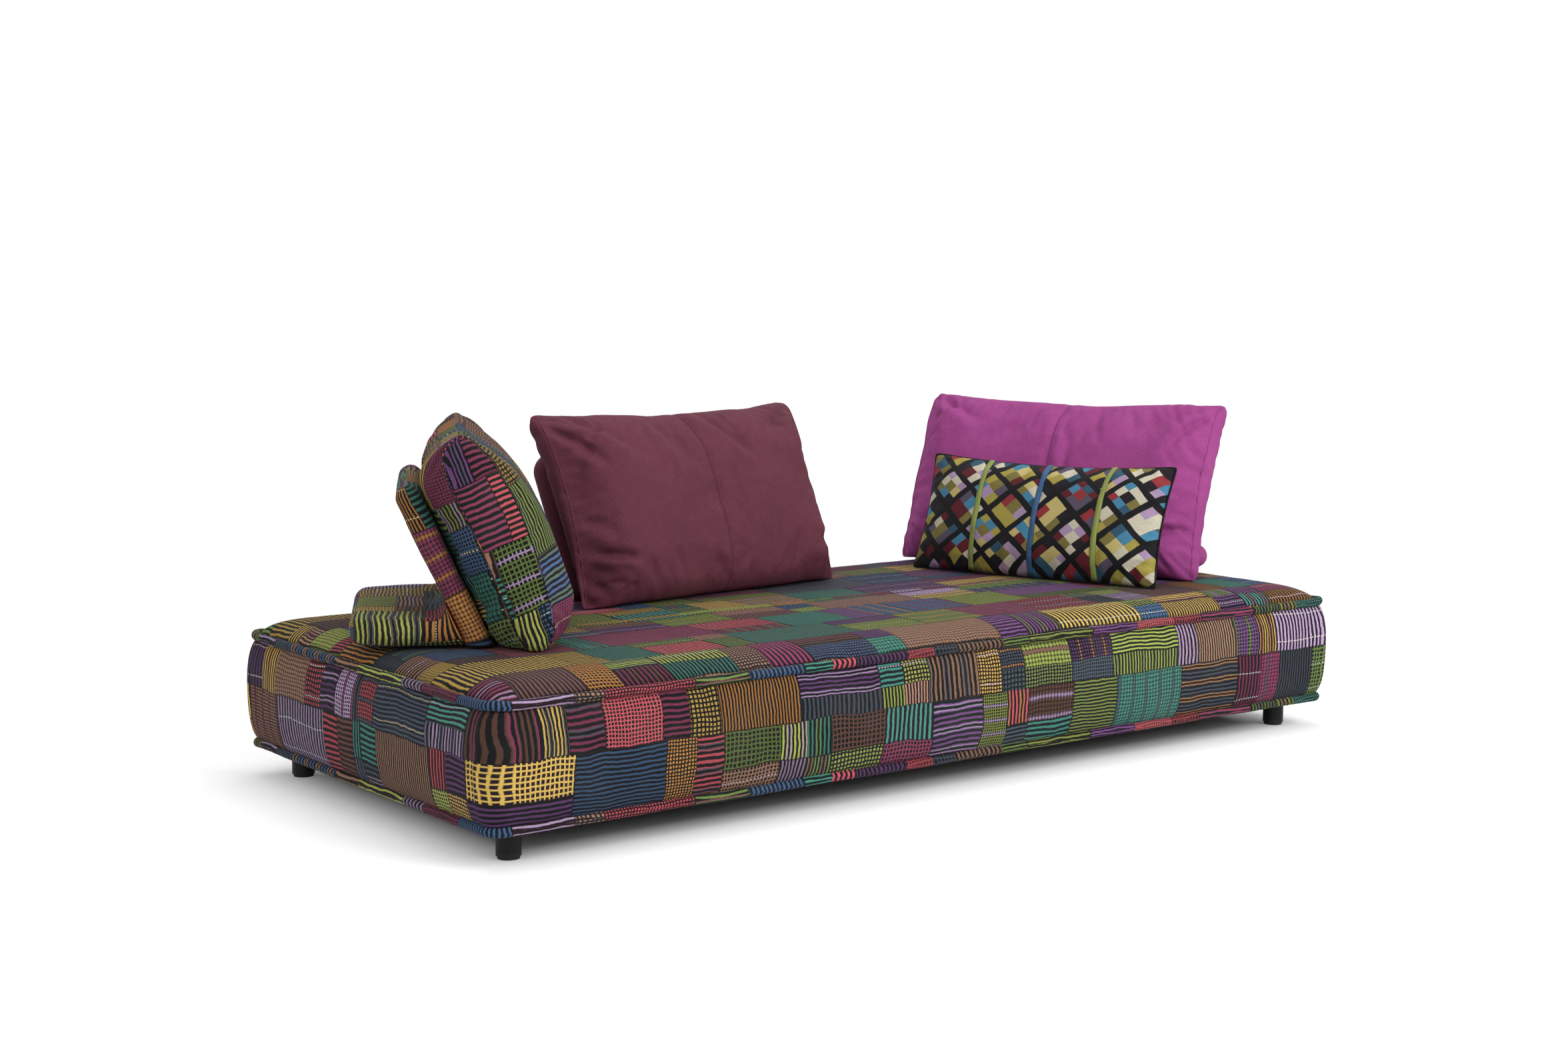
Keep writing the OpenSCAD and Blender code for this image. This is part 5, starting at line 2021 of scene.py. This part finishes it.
@dataclass
class Studio:
    """Plain pale floor, soft lamps and the camera."""

    eye: Triple = (-3.323, -4.142, 1.134)
    heading: float = 52.17
    pitch: float = -6.44
    roll: float = 0.45
    lens: float = 52.56
    glow: float = 0.42

    def build(self) -> None:
        """Make the floor, the lamps, the world and the camera."""
        self.floor()
        self.lamp("key_lamp", (1.6, -5.2, 3.6), 4.0, 300.0)
        self.lamp("fill_lamp", (-5.0, -1.6, 3.0), 4.0, 75.0)
        self.lamp("top_lamp", (0.3, 1.4, 5.0), 5.0, 90.0)
        self.world()
        self.camera()

    def floor(self) -> None:
        """Make the pale floor, which keeps the sofa's cast shadow and adds a painted shadow under the
        platform, where its camera-only glow is taken away.
        """
        size = 60.0
        rows = 25
        steps = np.linspace(-size, size, rows)
        xs, ys = np.meshgrid(steps, steps, indexing="ij")
        faces = [
            (i * rows + j, (i + 1) * rows + j, (i + 1) * rows + j + 1, i * rows + j + 1)
            for i in range(rows - 1)
            for j in range(rows - 1)
        ]
        points = np.stack([xs, ys, np.zeros_like(xs)], axis=2).reshape(-1, 3)
        piece = Surface(points, faces, [((0.0, 0.0, 0.0),) * 4] * len(faces)).object("studio_floor")
        board = Board("studio_floor_white")
        seen = board.seen()
        plain = board.node("ShaderNodeBsdfDiffuse")
        plain.inputs["Color"].default_value = (0.8, 0.8, 0.8, 1)
        glow, white = board.node("ShaderNodeEmission"), board.node("ShaderNodeEmission")
        # Painted shadow: the camera-only glow is masked to 0 under the platform, so the floor there is
        # painted dark.
        level = board.times(board.times(seen, self.glow), self._clear_of_painted_shadow(board))
        board.feed(glow.inputs["Strength"], level)
        near = board.fed(board.node("ShaderNodeAddShader"), (plain.outputs[0], glow.outputs[0]))
        away = board.node("ShaderNodeVectorMath", operation="LENGTH")
        board.feed(away.inputs[0], board.scaled(board.object_place(), (0.42, 0.6, 0.0)))
        far = board.times(board.ramped(away.outputs["Value"], 0.75, 1.5, 0.0, 1.0), seen)
        mixed = board.fed(board.node("ShaderNodeMixShader"), (far, near, white.outputs[0]))
        board.feed(board.output.inputs["Surface"], mixed)
        piece.data.materials.append(board.material)

    def _clear_of_painted_shadow(self, board: Board) -> Socket:
        """Mask for the painted shadow: 0 on the floor under the platform, rising to 1 beside it."""
        across, along, _ = board.split(board.object_place())
        beside = board.minus(board.maths("ABSOLUTE", across), CAD_BOX[1][0])
        before = board.minus(board.maths("ABSOLUTE", along), CAD_BOX[1][1])
        away = board.ramped(board.most(beside, before), -0.16, 0.14, 0.0, 1.0)
        return board.times(away, board.fused(away, -1.0, 2.0))

    def lamp(self, name: str, place: Triple, size: float, power: float) -> None:
        """Hang one soft lamp that looks at the seat.

        Args:
            name: The lamp's name.
            place: Where it hangs.
            size: Its side in metres.
            power: Its power in watts.
        """
        light = bpy.data.lights.new(name, "AREA")
        light.energy = power
        light.size = size
        lamp = add_object(name, light)
        lamp.location = place
        aim = Vector((0.0, 0.0, 0.4)) - Vector(place)
        lamp.rotation_euler = aim.to_track_quat("-Z", "Y").to_euler()

    def world(self) -> None:
        """Fill the room with even light and show white behind the sofa."""
        board = Board("studio_world", world=True)
        back = board.node("ShaderNodeBackground")
        back.inputs["Color"].default_value = (1, 1, 1, 1)
        board.feed(back.inputs["Strength"], board.ramped(board.seen(), 0.0, 1.0, self.glow, 1.0))
        board.feed(board.output.inputs["Surface"], back.outputs[0])
        bpy.context.scene.world = board.material

    def camera(self) -> None:
        """Set the camera at the photograph's angle."""
        yaw, pitch, roll = (math.radians(value) for value in (self.heading, self.pitch, self.roll))
        ahead = Vector((math.cos(yaw) * math.cos(pitch), math.sin(yaw) * math.cos(pitch), math.sin(pitch)))
        level = ahead.cross(Vector((0, 0, 1))).normalized()
        upright = level.cross(ahead)
        right = level * math.cos(roll) + upright * math.sin(roll)
        up = upright * math.cos(roll) - level * math.sin(roll)
        turn = Matrix((right, up, -ahead)).transposed().to_4x4()
        turn.translation = Vector(self.eye)
        data = bpy.data.cameras.new("studio_camera")
        data.lens = self.lens
        data.sensor_width = 36.0
        data.clip_end = 200.0
        camera = add_object("studio_camera", data)
        camera.matrix_world = turn
        bpy.context.scene.camera = camera
        bpy.context.scene.view_settings.view_transform = "Standard"


def main() -> None:
    """Build every sub-assembly in order."""
    logging.basicConfig(level=logging.INFO, format="%(message)s")
    Studio().build()
    Platform().build()
    left = Stand(-0.735, 0.018, 61.0)
    middle = Stand(-0.130, 0.196, 6.5)
    right = Stand(0.799, 0.074, -69.5)
    Backrest(Place.LEFT, left, 0.560, 0.415, Finishes.patch_back).build()
    Backrest(Place.MIDDLE, middle, 0.690, 0.315, Finishes.maroon).build()
    Backrest(Place.RIGHT, right, 0.690, 0.315, Finishes.magenta).build()
    BackCushion(
        Place.LEFT, left, 0.692, Finishes.patch_cushion, 0.0, 0.62, 0.1, 0.014, 0.3, 0.46, 0.026, 0.5,
        front_top_round=0.095, back_top_round=0.075,
    ).build()
    fan = (
        Fold((-0.98, 0.9), (-0.74, 0.3), 0.014, 0.011),
        Fold((-0.9, 0.97), (-0.48, 0.5), 0.011, 0.015),
        Fold((0.96, 0.95), (0.5, 0.6), 0.012, 0.014),
        Fold((0.95, 0.8), (0.8, 0.25), 0.007, 0.013),
        Fold((-0.97, -0.46), (-0.68, -0.62), 0.018, 0.009),
        Fold((-0.97, -0.1), (-0.78, -0.36), 0.007, 0.011),
        Fold((0.1, 0.98), (0.36, 0.36), 0.011, 0.015),
        Fold((-0.32, 0.98), (-0.12, 0.25), 0.007, 0.02),
        Fold((0.97, -0.5), (0.7, -0.66), 0.008, 0.011),
        Fold((0.03, -0.9), (0.16, -0.62), 0.006, 0.01),
        Fold((-0.03, -0.92), (-0.14, -0.7), 0.005, 0.01),
    )
    BackCushion(
        Place.MIDDLE, middle, 0.826, Finishes.maroon, 0.009, 0.26, 0.115, 0.03, 0.9, 0.24,
        foot_draw=0.012, aside=-0.008, corner=0.026, folds=fan,
    ).build()
    turned = tuple(Fold((-f.start[0], f.start[1]), (-f.end[0], f.end[1]), f.depth, f.width) for f in fan)
    BackCushion(
        Place.RIGHT, right, 0.836, Finishes.magenta, 0.009, 0.36, 0.09, 0.02, 0.5,
        foot_draw=-0.01, aside=-0.012, corner=0.024, folds=turned,
    ).build()
    angle = math.radians(right.turn)
    shift, ahead = 0.036, -0.152
    lumbar = Stand(
        right.x + shift * math.cos(angle) - ahead * math.sin(angle),
        right.y + shift * math.sin(angle) + ahead * math.cos(angle),
        right.turn - 2.0,
    )
    LumbarCushion(lumbar).build()


if __name__ == "__main__":
    main()
